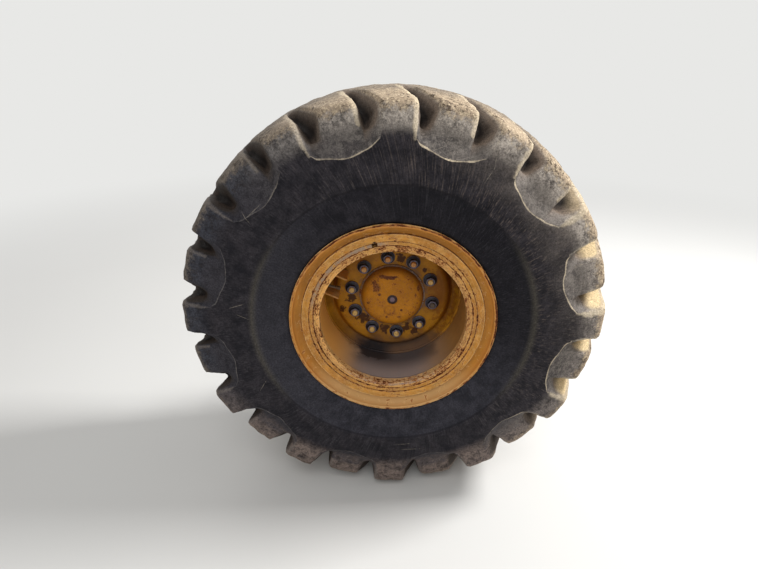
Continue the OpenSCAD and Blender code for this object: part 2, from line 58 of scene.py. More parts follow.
print("CAD nodes:", ", ".join(sorted(nodes)))

# %% [markdown]
# ## The camera
# The camera comes first, because everything after it is judged through it. Its place was worked
# out from the ellipses that the wheel's rings make in the photograph: a wide lens, about two
# metres from the wheel and well above it, so the wheel is seen from above and in strong
# perspective. The origin is at the kingpin, so the wheel's middle is 356 mm outboard of it.

# %% Camera
scene = bpy.context.scene
MM = 0.001
WHEEL_OUT = 0.356
PHOTO_WIDTH = 758
FOCAL_PIXELS = 520
CAMERA_AT = (-0.0325, -2.3251, 0.9053)
LOOKING_DOWN = math.radians(23.95)
LOOKING_LEFT = math.radians(0.64)
camera_data = bpy.data.cameras.new("camera")
camera_data.sensor_width = 36
camera_data.lens = camera_data.sensor_width * FOCAL_PIXELS / PHOTO_WIDTH
camera = bpy.data.objects.new("camera", camera_data)
scene.collection.objects.link(camera)
camera.location = CAMERA_AT
camera.rotation_euler = (math.pi / 2 - LOOKING_DOWN, 0, LOOKING_LEFT)
scene.camera = camera
scene.view_settings.view_transform = "Standard"
print("Lens", round(camera_data.lens, 2), "mm")

# %% [markdown]
# ## Helpers for finishes
# A finish is a small network of nodes. Each helper below adds a node or a few and gives back their
# output, so a finish can be written as sums. They come in three steps, each a class that adds to
# the one before: first the plain nodes.


# %% Nodes and sums
class Nodes:
    """A material's nodes."""

    def __init__(self, name, roughness=0.6, metallic=0.0, specular=0.5):
        self.material = bpy.data.materials.new(name)
        self.material.use_nodes = True
        self.tree = self.material.node_tree
        self.shader = self.tree.nodes["Principled BSDF"]
        self.shader.inputs["Roughness"].default_value = roughness
        self.shader.inputs["Metallic"].default_value = metallic
        self.shader.inputs["Specular IOR Level"].default_value = specular

    def feed(self, socket, value):
        """Gives a socket another node's output or a plain value."""
        if isinstance(value, bpy.types.NodeSocket):
            self.tree.links.new(value, socket)
        else:
            socket.default_value = value

    def add(self, kind, inputs, output=0, **settings):
        """Adds a node, feeds it, and gives back one of its outputs."""
        step = self.tree.nodes.new("ShaderNode" + kind)
        for name, value in settings.items():
            setattr(step, name, value)
        for name, value in inputs.items():
            self.feed(step.inputs[name], value)
        return step.outputs[output]

    def math(self, operation, first, second=0.0):
        return self.add("Math", {0: first, 1: second}, operation=operation)

    def chain(self, operation, values):
        result = values[0]
        for value in values[1:]:
            result = self.math(operation, result, value)
        return result

    def plus(self, *values):
        return self.chain("ADD", values)

    def times(self, *values):
        return self.chain("MULTIPLY", values)

    def less(self, first, second):
        return self.math("SUBTRACT", first, second)

    def length(self, vector):
        return self.add("VectorMath", {0: vector}, output="Value", operation="LENGTH")

    def scaled(self, vector, factor):
        return self.add("VectorMath", {0: vector, "Scale": factor}, operation="SCALE")

    def attribute(self, name):
        return self.add("Attribute", {}, output="Fac", attribute_name=name)


# %% [markdown]
# Then the patterns. All of them read Object coordinates, in metres, so a 5 mm rust spot stays 5 mm
# wide and turns with its piece. Most give a mask, a number from 0 to 1 that says how much of a
# layer shows at a point.


# %% Places and patterns
class Patterns(Nodes):
    """Nodes with noise, rings, spots and scratches."""

    def place(self, scale=(1, 1, 1), centre=(0, -WHEEL_OUT, 0)):
        """Object coordinates counted from a centre, the wheel's own unless another is given."""
        moved = tuple(-c * s for c, s in zip(centre, scale))
        coordinates = self.add("TexCoord", {}, output="Object")
        return self.add("Mapping", {"Vector": coordinates, "Location": moved, "Scale": scale})

    def radius(self):
        return self.length(self.place(scale=(1, 0, 1)))

    def axis(self, letter):
        return self.add("SeparateXYZ", {0: self.place()}, output=letter)

    def round_axle(self, reach, off):
        """Coordinates that go round the axle on a circle of that reach, moved on by `off`."""
        direction = self.add("VectorMath", {0: self.place(scale=(1, 0, 1))}, operation="NORMALIZE")
        moved = {0: self.scaled(direction, reach), 1: self.add("CombineXYZ", off)}
        return self.add("VectorMath", moved, operation="ADD")

    def around(self, stretch=0.4):
        """Coordinates in which a pattern is drawn out round the axle, 1 / `stretch` times."""
        off = self.plus(self.radius(), self.times(self.axis("Y"), 0.7))
        return self.round_axle(0.3 * stretch, {1: off})

    def noise(self, size, detail=3.0, roughness=0.55, where=None, twist=0.0):
        """Noise from 0 to 1, with blobs of about `size` metres."""
        kind = {"Scale": 1 / size, "Detail": detail, "Roughness": roughness, "Distortion": twist}
        return self.add("TexNoise", {"Vector": where or self.place(), **kind})

    def swing(self, amount, *noise):
        """Noise about zero, at most half of `amount` either way."""
        return self.times(self.less(self.noise(*noise), 0.5), amount)

    def step(self, value, low, high):
        """0 below `low`, 1 above `high`, and a smooth rise between them."""
        inputs = {"Value": value, "From Min": low, "From Max": high}
        return self.add("MapRange", inputs, interpolation_type="SMOOTHSTEP")

    def ring(self, at, width, soft=0.3):
        """1 on a ring of that radius, falling to 0 half a width away."""
        off = self.math("ABSOLUTE", self.less(self.radius(), at))
        return self.step(off, width / 2, width / 2 * soft)

    def spot(self, x, z, wide, high, warp=0.35):
        """1 on a ragged patch `wide` by `high` metres round (x, z) on the wheel's face."""
        far = self.length(self.place(scale=(1 / wide, 0, 1 / high), centre=(x, 0, z)))
        return self.step(self.plus(far, self.swing(4 * warp, 0.02, 4.0, 0.65)), 0.62, 0.40)

    def stroke(self, x, z, long, wide, turn):
        """1 on a thin scratch round (x, z) on the outboard face, `turn` degrees from level."""
        leaning = (0, math.radians(-turn), 0)
        box = {"Location": (x, 0, z), "Rotation": leaning, "Scale": (long, 9, wide)}
        far = self.length(self.add("Mapping", {"Vector": self.place(), **box}, vector_type="TEXTURE"))
        ragged = self.times(self.less(self.noise(0.014, 5.0, 0.75), 0.45), 1.3)
        face_only = self.step(self.axis("Y"), -0.15, -0.2)
        return self.times(self.step(self.plus(far, ragged), 0.5, 0.2), face_only)


# %% [markdown]
# Last come the layers: the paint, then dust on it, then rust through it. A layer is laid on the
# one before where its masks let it show. A tone is written as it is seen, as three numbers from 0
# to 255.


# %% Layers
def colour(red, green, blue):
    """A tone in the linear values that a shader takes."""
    seen = [channel / 255 for channel in (red, green, blue)]
    return tuple(c / 12.92 if c <= 0.04045 else ((c + 0.055) / 1.055) ** 2.4 for c in seen) + (1.0,)


class Finish(Patterns):
    """A material that is built up layer by layer."""

    def uneven(self, layer, noise, share):
        """The layer made darker and lighter by up to `share` of itself, as the noise goes."""
        ends = {"From Min": 0.3, "From Max": 0.7, "To Min": 1 - share, "To Max": 1 + share}
        return self.scaled(layer, self.add("MapRange", {"Value": noise, **ends}))

    def mix(self, mask, first, second):
        """`first` where the mask is 0 and `second` where it is 1. Each is a tone or a layer."""
        step = self.tree.nodes.new("ShaderNodeMix")
        step.data_type = "RGBA"
        sockets = {socket.identifier: socket for socket in step.inputs}
        self.feed(sockets["Factor_Float"], mask)
        for name, value in (("A_Color", first), ("B_Color", second)):
            self.feed(sockets[name], colour(*value) if isinstance(value, tuple) else value)
        return next(socket for socket in step.outputs if socket.identifier == "Result_Color")

    def lay(self, layer, tone, *masks):
        """The layer with a tone over it, as much as all the masks together let it show."""
        return self.mix(self.times(*masks), layer, tone)

    def use(self, layer, rough=None, height=None, depth=0.001, strength=0.6):
        """Wires the finished layers to the shader, height as bump."""
        self.feed(self.shader.inputs["Base Color"], layer)
        if rough is not None:
            self.feed(self.shader.inputs["Roughness"], rough)
        if height is not None:
            bump = self.add("Bump", {"Height": height, "Distance": depth, "Strength": strength})
            self.feed(self.shader.inputs["Normal"], bump)
        return self.material


# %% [markdown]
# ## Worn yellow paint
# The rim was sprayed in machine yellow and has stood outside for years. The paint has faded
# unevenly, dust lies on it, and rust comes through in small dark pits, each with an orange halo,
# most of all on edges and in the grooves between the rings. One function makes all the painted
# pieces, because they differ only in how much of each layer they have.

# %% Paint with dust and rust
RUST_DARK = (82, 40, 18)
RUST_ORANGE = (150, 88, 42)
CHIP_PALE = (224, 182, 122)
# a rust spot is a hill in the noise: where its chipped rim, its halo and its pit start and end
CHIPPED = (0.53, 0.57)
HALO = (0.57, 0.62)
PIT = (0.65, 0.71)


def worn_paint(
    name, fresh, faded, dust, dust_share=0.35, rust=0.0, speck=0.009, chips=0.35,
    zones=(), glints=(), seams=(), shade=None, wear=None, rolled=False, mottle=0.14,
):
    """Paint from `fresh` to `faded`. `rust` is how much rust there is all over; the zones (radius,
    width, rust) and `wear` add to it. Glints (radius, width, share) are painted highlights along
    edges, in the pale tone of chips, and seams (radius, width, share) are dark joints. `shade` adds
    layers of a piece's own: marks, and on some pieces painted light and shade. `mottle` is how
    uneven the tone is. On a `rolled` ring it and the rust are drawn out round the axle."""
    look = Finish(name, specular=0.2)
    where = look.around() if rolled else look.place()
    layer = look.mix(look.step(look.noise(0.12, 5.0), 0.38, 0.64), fresh, faded)
    blown = look.noise(0.03, 6.0, 0.68, twist=0.6)
    dusty = look.step(blown, 0.60 - dust_share * 0.4, 0.84 - dust_share * 0.3)
    layer = look.lay(layer, dust, dusty, min(1.0, dust_share * 2))
    layer = look.uneven(layer, look.noise(0.014, 6.0, 0.65, where=where), mottle)
    if shade is not None:
        layer = shade(look, layer)
    # glints: painted highlights along edges
    for at, width, share in glints:
        broken = look.step(look.noise(0.02, 5.0, 0.7), 0.36, 0.56)
        layer = look.lay(layer, CHIP_PALE, look.ring(at, width), broken, share)
    for at, width, share in seams:
        broken = look.step(look.noise(0.03, 4.0, 0.6), 0.30, 0.52)
        layer = look.lay(layer, RUST_DARK, look.ring(at, width), broken, share)
    parts = [look.noise(speck, 5.0, 0.66, where=where), look.swing(0.5, speck * 7, 4.0), rust]
    parts += [look.times(look.ring(at, width), amount) for at, width, amount in zones]
    if wear is not None:
        parts.append(wear(look))
    hill = look.plus(*parts)
    halo = look.step(hill, *HALO)
    layer = look.lay(layer, CHIP_PALE, look.step(hill, *CHIPPED), chips)
    layer = look.lay(layer, RUST_ORANGE, halo, 0.85)
    layer = look.lay(layer, RUST_DARK, look.step(hill, *PIT))
    rough = look.add("MapRange", {"Value": halo, "To Min": 0.55, "To Max": 0.92})
    height = look.less(look.times(look.noise(0.004, 3.0), 0.35), look.times(halo, 0.8))
    return look.use(layer, rough, height, depth=0.0012)


# %% [markdown]
# ## Helpers for shapes
# Nearly everything on a wheel is a turned shape: a closed half section spun about the axle. The
# sections are in millimetres, as (radius, place along the axle), with places counted from the
# middle of the tyre and negative on the outboard side. Real steel has no perfectly sharp edge, so
# the sharp ones get a small bevel, which catches the light.

# %% Turning a section about the axle
UP_FROM_FRONT = (0, -1, 0)
MIDDLE = (0, 0, 0)


def spin(made, geom, steps, degrees=360.0, **how):
    """Spins a section about the axle."""
    angle = math.radians(degrees)
    bmesh.ops.spin(made, geom=geom, cent=MIDDLE, axis=UP_FROM_FRONT, angle=angle, steps=steps, **how)


def rotate(made, degrees, verts=None, axis=UP_FROM_FRONT):
    """Turns a shape, or some of its vertices, about the axle or another axis."""
    matrix = Matrix.Rotation(math.radians(degrees), 3, axis)
    bmesh.ops.rotate(made, verts=verts or made.verts, cent=MIDDLE, matrix=matrix)


def outboard(point):
    """How far outboard of the tyre's middle a point lies, in millimetres."""
    return -(point.y + WHEEL_OUT) / MM


def arc(radius, place, size, start, end, steps):
    """Points of a bend in a section, round (radius, place), angles in degrees."""
    turn = [math.radians(start + (end - start) * k / steps) for k in range(steps + 1)]
    return [(radius + size * math.sin(a), place + size * math.cos(a)) for a in turn]


def soften(made, width, sharp_from=24):
    """Bevels the sharp edges of a bmesh."""
    bmesh.ops.recalc_face_normals(made, faces=made.faces)
    sharp_from = math.radians(sharp_from)
    sharp = [e for e in made.edges if e.is_manifold and e.calc_face_angle(0) > sharp_from]
    bmesh.ops.bevel(
        made, geom=sharp, offset=width, offset_type="OFFSET", affect="EDGES",
        segments=2, profile=0.5, material=-1, clamp_overlap=True,
    )


def turned(section, steps=144, gap=0.0, gap_at=0.0, bevel=1.2):
    """A bmesh of a half section spun about the axle, with a gap of that many degrees if given."""
    made = bmesh.new()
    corners = [made.verts.new((r * MM, place * MM - WHEEL_OUT, 0)) for r, place in section]
    edges = [made.edges.new(pair) for pair in zip(corners, corners[1:] + corners[:1])]
    if gap:
        face = made.faces.new(corners)
        rotate(made, gap_at + gap / 2)
        spin(made, corners + edges + [face], steps, degrees=360 - gap)
    else:
        spin(made, corners + edges, steps, use_merge=True)
    bmesh.ops.remove_doubles(made, verts=made.verts, dist=1e-6)
    if bevel:
        soften(made, bevel * MM)
    return made


# %% From a bmesh to a piece
def piece(made, name, body, material, stands_for=(), smooth_to=14):
    """Turns a bmesh into a finished object that rides on a body."""
    mesh = bpy.data.meshes.new(name)
    bmesh.ops.recalc_face_normals(made, faces=made.faces)
    made.to_mesh(mesh)
    made.free()
    mesh.shade_smooth()
    mesh.set_sharp_from_angle(angle=math.radians(smooth_to))
    for one in material if isinstance(material, list) else [material]:
        mesh.materials.append(one)
    thing = bpy.data.objects.new(name, mesh)
    scene.collection.objects.link(thing)
    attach(thing, body)
    if stands_for:
        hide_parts(*stands_for)
    print(name, len(mesh.polygons), "faces")
    return thing


# %% [markdown]
# ## The tyre: one pitch of the pattern
# The tread repeats every 30 degrees. In each pitch there is a shoulder recess that holds one
# short lug between two slots, and then a full lug that runs flush down into the sidewall. The
# surface is a grid: rows follow the section from the crown over the shoulder to the bead, and ten
# columns a pitch follow the edges of lugs and slots. Each row of the table gives where the grid
# goes on a full lug, on the short lug and on a slot's floor, then the four angles of a slot's
# edges from the recess's middle, and how far the row is turned, since the slots sweep round.

# %% Table of the tyre's rows
PITCHES = 12
COLUMNS = 10
PITCH_TURN = 360 / PITCHES
COLUMN_TURN = PITCH_TURN / COLUMNS
# the angle of one recess's middle, from the right
RECESS_AT = 14.0
EVEN = (3.0, 6.0, 9.0, 12.0)
# full lug (r, place), short lug (r, place), slot floor (r, place), slot edges, turn
ROWS = [
    ((808.5, 0), (808.5, 0), (808.5, 0), EVEN, 6.0),
    ((807.6, 44), (807.6, 44), (806, 46), (6.8, 7.3, 8.1, 8.6), 5.3),
    ((805, 78), (805, 78), (764, 82), (6.0, 7.1, 8.4, 9.5), 4.5),
    ((798.5, 156), (798.5, 156), (746, 158), (5.4, 6.9, 8.4, 10.0), 2.6),
    ((789.5, 218), (790, 206), (731, 197), (4.9, 6.8, 8.2, 10.3), 0.9),
    ((780, 264), (783, 240), (717, 209), (4.5, 6.8, 8.2, 10.5), 0.0),
    ((757, 275.5), (752, 249), (702, 220), (4.6, 6.8, 8.1, 10.6), 0.0),
    ((724, 282.5), (712, 258), (685, 231), (4.9, 6.9, 8.0, 10.6), 0.0),
]
SHOULDER = ROWS[-1][3]
# The slots lean, as the wall on their anticlockwise side is steeper. The lugs' clockwise edges are
# the ones worn round and pale, and painted pale as highlights too. The others are worn less, and
# have a minus sign, by which the finish tells them apart and paints them as pale highlights at the
# right, where they face the sun. The slots' columns carry dirt and painted shadow, most on the
# steeper anticlockwise side, where the shadow falls. The keys are columns, and the values of the
# table by row go with ROWS.
STEEPER = 0.45
WORN_AND_LIT_EDGES = {4: 1.0, 9: 1.0, 1: -0.55, 6: -0.72}
SLOT_EARTH_AND_SHADOW = {2: 0.8, 3: 1.0, 7: 0.8, 8: 1.0}
EARTH_AND_SHADOW_BY_ROW = (0, 0.3, 1, 1, 1, 1, 0.75, 0.45)

# %% The recess's lower end, and the rest of the section
# The gable is the recess's lower end. Its ridge is lowest in the middle. A row above the ridge
# holds the short lug's foot and the slots' ends, at these depths under the sidewall's face.
RIDGE_SIDE_R = 653
RIDGE_DROP = 41
RIDGE_PLACE = 291.3
FOOT_ABOVE_RIDGE = 48
FACE_AT_GABLE = 290.5
GABLE_DEPTHS = {"lug": 3, "short": 26, "slot": 45}
# how much dirt and painted shadow the slots' ends carry on the row above the ridge
GABLE_EARTH_AND_SHADOW = 0.2
GABLE_HALF_TURN = 11
# the recess's two corners are rounded: millimetres outwards, and degrees towards the middle
CORNER_OUT = 14
CORNER_TURN = {4: -0.6, 6: 0.6}
# how pale the corners' edges are, worn and painted as highlights, and how much of the ridge's painted
# highlight they carry
CORNER_WORN_AND_LIT = 0.82
CORNER_RIDGE = 0.955
# the sidewall down to the bead, and the inner liner, as (r, place)
LOWER = [
    (596, 294.5), (556, 297.2), (530, 298.5), (519, 298), (512, 291.5), (446, 294), (404, 291.5),
    (384.5, 283), (370, 258.5), (346, 247.5), (318.4, 246.5), (318.4, 188),
]
LINER = [(400, 248), (600, 258), (690, 204), (728, 0)]


# %% Where a grid point of the tyre goes
def slot_edges(column, edges):
    """A column's angle in its pitch, in degrees, and what the column is there."""
    away = min(column, COLUMNS - column)
    kind = ("short", "short", "slot", "slot", "lug", "lug")[away]
    angle = (0.0, *edges, PITCH_TURN / 2)[away]
    lean = STEEPER * (edges[3] - edges[2]) if kind == "slot" and edges != EVEN else 0.0
    return (angle if column <= COLUMNS / 2 else PITCH_TURN - angle) + lean, kind


def gable_point(is_ridge, column):
    """The same as tyre_point, for the two rows at the recess's lower end."""
    angle, kind = slot_edges(column, SHOULDER)
    away = min(angle, PITCH_TURN - angle)
    radius = RIDGE_SIDE_R - RIDGE_DROP * max(0.0, 1 - away / SHOULDER[3])
    inside = 1.0 if away < GABLE_HALF_TURN else 0.0
    worn = WORN_AND_LIT_EDGES.get(column, 0.0)
    if not is_ridge:
        point = (radius + FOOT_ABOVE_RIDGE, FACE_AT_GABLE - GABLE_DEPTHS[kind], angle)
        deep = SLOT_EARTH_AND_SHADOW.get(column, 0.0) * GABLE_EARTH_AND_SHADOW
        return point, (worn if column != 9 else 0.0, deep, 0.0, inside)
    if column not in CORNER_TURN:
        return (radius, RIDGE_PLACE, angle), (0.0, 0.0, inside, inside)
    point = (radius + CORNER_OUT, RIDGE_PLACE, angle + CORNER_TURN[column])
    return point, (worn * CORNER_WORN_AND_LIT, 0.0, CORNER_RIDGE, inside)


def tyre_point(row, column):
    """Where a grid point of the outboard half is, as (radius, place, angle), and its attributes:
    how pale its edge is, by wear and as a painted highlight, how deep it lies in a slot, which sets
    its dirt and painted shadow, and if it is on the recess's ridge or in it."""
    if row < len(ROWS):
        lug, short, slot, edges, turn = ROWS[row]
        angle, kind = slot_edges(column, edges)
        radius, place = {"lug": lug, "short": short, "slot": slot}[kind]
        worn = WORN_AND_LIT_EDGES.get(column, 0.0) if row > 0 else 0.0
        deep = SLOT_EARTH_AND_SHADOW.get(column, 0.0) * EARTH_AND_SHADOW_BY_ROW[row]
        return (radius, place, angle + turn), (worn, deep, 0.0, 0.0 if kind == "lug" else 1.0)
    row -= len(ROWS)
    if row < 2:
        return gable_point(row == 1, column)
    row -= 2
    radius, place = (LOWER + LINER)[row]
    angle = column * COLUMN_TURN
    if row == 0:
        angle = (slot_edges(column, SHOULDER)[0] + angle) / 2
    return (radius, place, angle), (0.0, 0.0, 0.0, 0.0)


TYRE_ROWS = len(ROWS) + 2 + len(LOWER) + len(LINER)
print("Tyre cage:", TYRE_ROWS, "rows a side,", PITCHES * COLUMNS, "columns")

# %% [markdown]
# ## The tyre: from the table to rubber
# A plain line of vertices is spun once round the axle, which gives the grid. Each vertex then
# moves to its place in the table. The far half is a mirrored copy, turned by six degrees, so the
# lugs of the two sides are staggered. Creases hold the lugs' edges, and a subdivision surface
# rounds them as wear does. Four attributes are carried along for the finish: how pale the lugs'
# edges are, worn and painted as highlights, depth in a slot, the ridge, which carries a painted
# highlight, and the recess above it. A last displacement, on the lugs only, makes their faces
# uneven.

# %% How sharp the cage's edges stay
GABLE = len(ROWS) + 1
CREASES = {
    "worn edge": 0.38, "edge": 0.62, "slot floor": 0.4, "ridge": 0.9, "above ridge": 0.4,
    "sidewall's ring": 0.5, "crown's end": 0.2,
}


def crease_of(row_a, row_b, column_a, column_b):
    """The name of a cage edge in CREASES, or None for a soft one."""
    away = min(column_a, COLUMNS - column_a)
    if column_a == column_b:
        low, high = min(row_a, row_b), max(row_a, row_b)
        if 1 <= low and high <= GABLE and away in (1, 4):
            return "worn edge" if column_a in (4, 9) and low > 1 else "edge"
        return "slot floor" if 2 <= low and high < GABLE and away in (2, 3) else None
    inner = max(away, min(column_b, COLUMNS - column_b)) <= 4
    if row_a in (GABLE + 3, GABLE + 4):
        return "sidewall's ring"
    return {GABLE: "ridge", GABLE - 1: "above ridge", 1: "crown's end"}.get(row_a) if inner else None


# %% Build the tyre
STAGGER = 6


def build_tyre():
    made = bmesh.new()
    row_of = made.verts.layers.int.new("row")
    kept = [made.verts.layers.float.new(name) for name in ("worn", "groove", "ridge", "recess")]
    weights = made.verts.layers.deform.verify()
    line = []
    for row in range(TYRE_ROWS):
        (radius, _, _), _ = tyre_point(row, 0)
        vertex = made.verts.new((radius * MM, MM * row, 0))
        vertex[row_of] = row
        line.append(vertex)
    edges = [made.edges.new(pair) for pair in zip(line, line[1:])]
    spin(made, line + edges, PITCHES * COLUMNS, use_merge=True)
    column_of = {}
    for vertex in made.verts:
        turn = math.degrees(math.atan2(vertex.co.z, vertex.co.x)) % 360
        pitch, column = divmod(round(turn / COLUMN_TURN) % (PITCHES * COLUMNS), COLUMNS)
        column_of[vertex] = column
        (radius, place, angle), attributes = tyre_point(vertex[row_of], column)
        angle = math.radians(RECESS_AT + PITCH_TURN * pitch + angle)
        across, up = radius * MM * math.cos(angle), radius * MM * math.sin(angle)
        vertex.co = (across, -place * MM - WHEEL_OUT, up)
        for layer, value in zip(kept, attributes):
            vertex[layer] = value
        if vertex[row_of] <= GABLE:
            vertex[weights][0] = 1.0
    crease = made.edges.layers.float.new("crease_edge")
    for edge in made.edges:
        a, b = edge.verts
        edge[crease] = CREASES.get(crease_of(a[row_of], b[row_of], column_of[a], column_of[b]), 0.0)
    far = bmesh.ops.duplicate(made, geom=made.verts[:] + made.edges[:] + made.faces[:])["geom"]
    far_verts = [g for g in far if isinstance(g, bmesh.types.BMVert)]
    for vertex in far_verts:
        vertex.co.y = -2 * WHEEL_OUT - vertex.co.y
    rotate(made, STAGGER, far_verts)
    bmesh.ops.remove_doubles(made, verts=made.verts, dist=1e-5)
    return made


# %% [markdown]
# ## Rubber
# The sidewall is old black rubber, blue-black near the rim and browner further out, with fine
# streaks that run out towards the tread. The tread is scrubbed and dusty. The upper right of the
# wheel lies towards the sun, so one mask called `sunny` goes from 0 to 1 across the wheel and
# mixes a shaded and a lit tone of each layer: painted shade and painted sunlight, with a little
# more dust on that side too. The attributes place the lugs' pale edges, worn and painted as
# highlights, the painted highlight along the ridge under each recess, and the dirt packed in the
# slots, with painted shadow deep in them.

# %% The sidewall
BEND_R = 0.514


def streaks_of(look):
    """Noise drawn out along the radius."""
    off = {0: look.times(look.radius(), 0.19), 1: look.times(look.axis("Y"), 0.2)}
    return look.noise(0.0045, 5.0, 0.7, where=look.round_axle(0.5, off))


def sidewall_layers(look, sunny, aslant, mottled):
    """From the bead to the lugs. The sidewall bends at a low ring, where its tone changes."""
    radius, across, up = look.radius(), look.axis("X"), look.axis("Z")
    patchy = look.step(mottled, 0.36, 0.64)
    # painted shade: near the rim the band is darker towards the top and darker still at the upper
    # right; it is lighter on the left
    above = look.step(up, -0.45, 0.20)
    dark = look.mix(above, (34, 34, 40), (22, 21, 26))
    light = look.mix(above, (54, 53, 60), (39, 37, 42))
    inner = look.mix(patchy, dark, light)
    inner = look.lay(inner, (17, 16, 20), look.step(aslant, 0.12, 0.42), 0.6)
    inner = look.lay(inner, (62, 61, 67), look.step(across, -0.18, -0.46), 0.4)
    wavy = look.plus(radius, look.times(look.less(mottled, 0.5), 0.02))
    outside = look.step(wavy, 0.508, 0.528)
    layer = look.mix(outside, inner, look.mix(patchy, (26, 25, 30), (49, 46, 50)))
    # pale streaks, paler and more of them on the sunny side as painted sunlight, and dark ones
    streaks = streaks_of(look)
    blotched = look.step(look.noise(0.09, 5.0, 0.65), 0.34, 0.62)
    share = look.plus(look.times(sunny, 0.26), look.times(blotched, 0.46))
    pale = look.mix(sunny, (74, 71, 74), (98, 87, 81))
    layer = look.lay(layer, pale, look.step(streaks, 0.50, 0.66), outside, share)
    within = look.less(1.0, outside)
    layer = look.lay(layer, (72, 70, 74), within, look.step(streaks, 0.52, 0.66), 0.32)
    layer = look.lay(layer, (20, 18, 22), look.step(streaks, 0.47, 0.36), outside, 0.6)
    # paler at the right, more so further out and higher up
    further = look.step(look.plus(radius, look.times(across, 0.06)), 0.565, 0.70)
    share = look.times(look.plus(0.26, look.times(blotched, 0.5)), look.step(up, -0.3, 0.5))
    layer = look.lay(layer, (112, 104, 98), share, further, look.step(across, 0.05, 0.45))
    # the ring itself: a painted shadow line under its step above and below, and a painted highlight
    # where the step catches the light at the two sides
    aside = look.step(look.math("ABSOLUTE", across), 0.37, 0.50)
    line = look.mix(aside, (24, 22, 26), (58, 55, 52))
    layer = look.lay(layer, line, look.ring(BEND_R + 0.002, 0.010), 0.5)
    return look.lay(layer, (84, 79, 70), look.ring(BEND_R, 0.042, 0.0), aside, 0.42)


# %% The lugs
def lug_face_layers(look, layer, sunny, foot, scuffs):
    """Faces painted lit on the sunny side and paler higher up, a painted sheen, and paler at the
    foot, as light from the floor; dark scuffs; and dust with painted shade on the ledge at each
    recess's lower end.
    """
    radius, up = look.radius(), look.axis("Z")
    # painted sheen and light: the faces' tone is paler higher up, on the sunny side and at the foot
    dull = look.mix(foot, (66, 68, 76), (140, 124, 115))
    bright = look.mix(look.step(up, -0.5, 0.65), (142, 133, 126), (200, 189, 176))
    rising = look.step(look.plus(radius, look.times(foot, 0.045)), 0.665, 0.735)
    dry_and_sheen = look.step(look.noise(0.03, 7.0, 0.78), 0.26, 0.62)
    layer = look.lay(layer, look.mix(sunny, dull, bright), rising, dry_and_sheen, 0.75)
    layer = look.lay(layer, (48, 42, 41), rising, look.step(scuffs, 0.51, 0.58), 0.6)
    # dust and painted shade on the ledge: a tone darker than the faces, lit and shaded by the sunny
    # mask
    recess = look.step(look.attribute("recess"), 0.94, 0.985)
    ledge = look.times(recess, look.step(radius, 0.72, 0.70))
    dust_and_shade_share = look.plus(0.25, look.times(look.step(scuffs, 0.56, 0.44), 0.5))
    return look.lay(layer, look.mix(sunny, (60, 58, 63), (126, 119, 112)), ledge, dust_and_shade_share)


def slot_layers(look, layer, sunny, groove):
    """Earth on the slots' walls, with painted shadow darkening it deep in the slots, and painted
    sunlight making it pale cream at the right, where the sun falls into them.
    """
    right = look.step(look.axis("X"), 0.56, 0.70)
    # painted sunlight: at the right the slots' outer parts are pale cream, where the sun falls in
    sunlit_slot = look.times(right, look.step(look.radius(), 0.685, 0.735))
    wall = look.mix(sunny, (58, 51, 46), (110, 96, 84))
    shaded = look.mix(look.step(groove, 0.25, 0.56), wall, (54, 44, 37))
    earth_lit_and_shaded = look.mix(sunlit_slot, shaded, (204, 182, 142))
    layer = look.lay(layer, earth_lit_and_shaded, look.step(groove, 0.04, 0.26), 0.92)
    # painted shadow deep in the slots, except where the sun falls in
    return look.lay(layer, (20, 16, 15), look.step(groove, 0.54, 0.84), look.less(1.0, sunlit_slot), 0.9)


def tread_layers(look, layer, sunny, foot, groove):
    """The dusty tread, which is pitted and gritty at the shoulders. Its tone is painted lit on the
    sunny side and paler at the foot, as light from the floor, and its grit shows only in the sun.
    Gives back the pits as well.
    """
    reach = look.plus(look.radius(), look.swing(0.11, 0.02, 7.0, 0.8), look.times(sunny, 0.010))
    tread = look.times(look.step(reach, 0.750, 0.780), look.step(groove, 0.24, 0.05))
    shoulder = look.step(look.math("ABSOLUTE", look.axis("Y")), 0.06, 0.19)
    # painted sunlight: the tread takes a lit tone on the sunny side, and a paler one at the foot
    bright = look.mix(shoulder, (126, 113, 98), (158, 139, 116))
    dull = look.mix(foot, (112, 103, 94), (140, 125, 113))
    layer = look.lay(layer, look.mix(sunny, dull, bright), tread, 0.94)
    rough = look.plus(0.3, look.times(shoulder, 0.7))
    # the pale grit shows only on the sunny side, as painted sunlight
    grit = look.step(look.noise(0.010, 7.0, 0.8), 0.50, 0.60)
    layer = look.lay(layer, (214, 196, 166), grit, tread, sunny, rough, 0.7)
    pits = look.plus(look.noise(0.016, 7.0, 0.82, twist=0.5), look.times(look.noise(0.15, 3.0), 0.25))
    pits = look.times(look.step(pits, 0.67, 0.735), tread, rough)
    return look.lay(layer, (64, 50, 42), pits, 0.8), pits


# %% Edges and scratches
# x and z from the axle, length and width in metres, and the turn from level in degrees
SCRATCHES = [
    (0.324, 0.610, 0.120, 0.0045, 84), (0.305, 0.545, 0.062, 0.0040, 58),
    (0.142, 0.630, 0.085, 0.0030, 16), (0.430, 0.500, 0.080, 0.0030, 80),
    (-0.470, 0.425, 0.090, 0.0035, 42), (-0.500, 0.400, 0.060, 0.0030, -50),
    (-0.560, 0.075, 0.100, 0.0035, 18), (-0.545, 0.030, 0.070, 0.0030, -24),
    (-0.500, -0.270, 0.080, 0.0030, 60), (0.045, -0.548, 0.085, 0.0035, 6),
    (0.075, -0.575, 0.100, 0.0030, 3), (-0.430, -0.520, 0.085, 0.0030, -38),
]


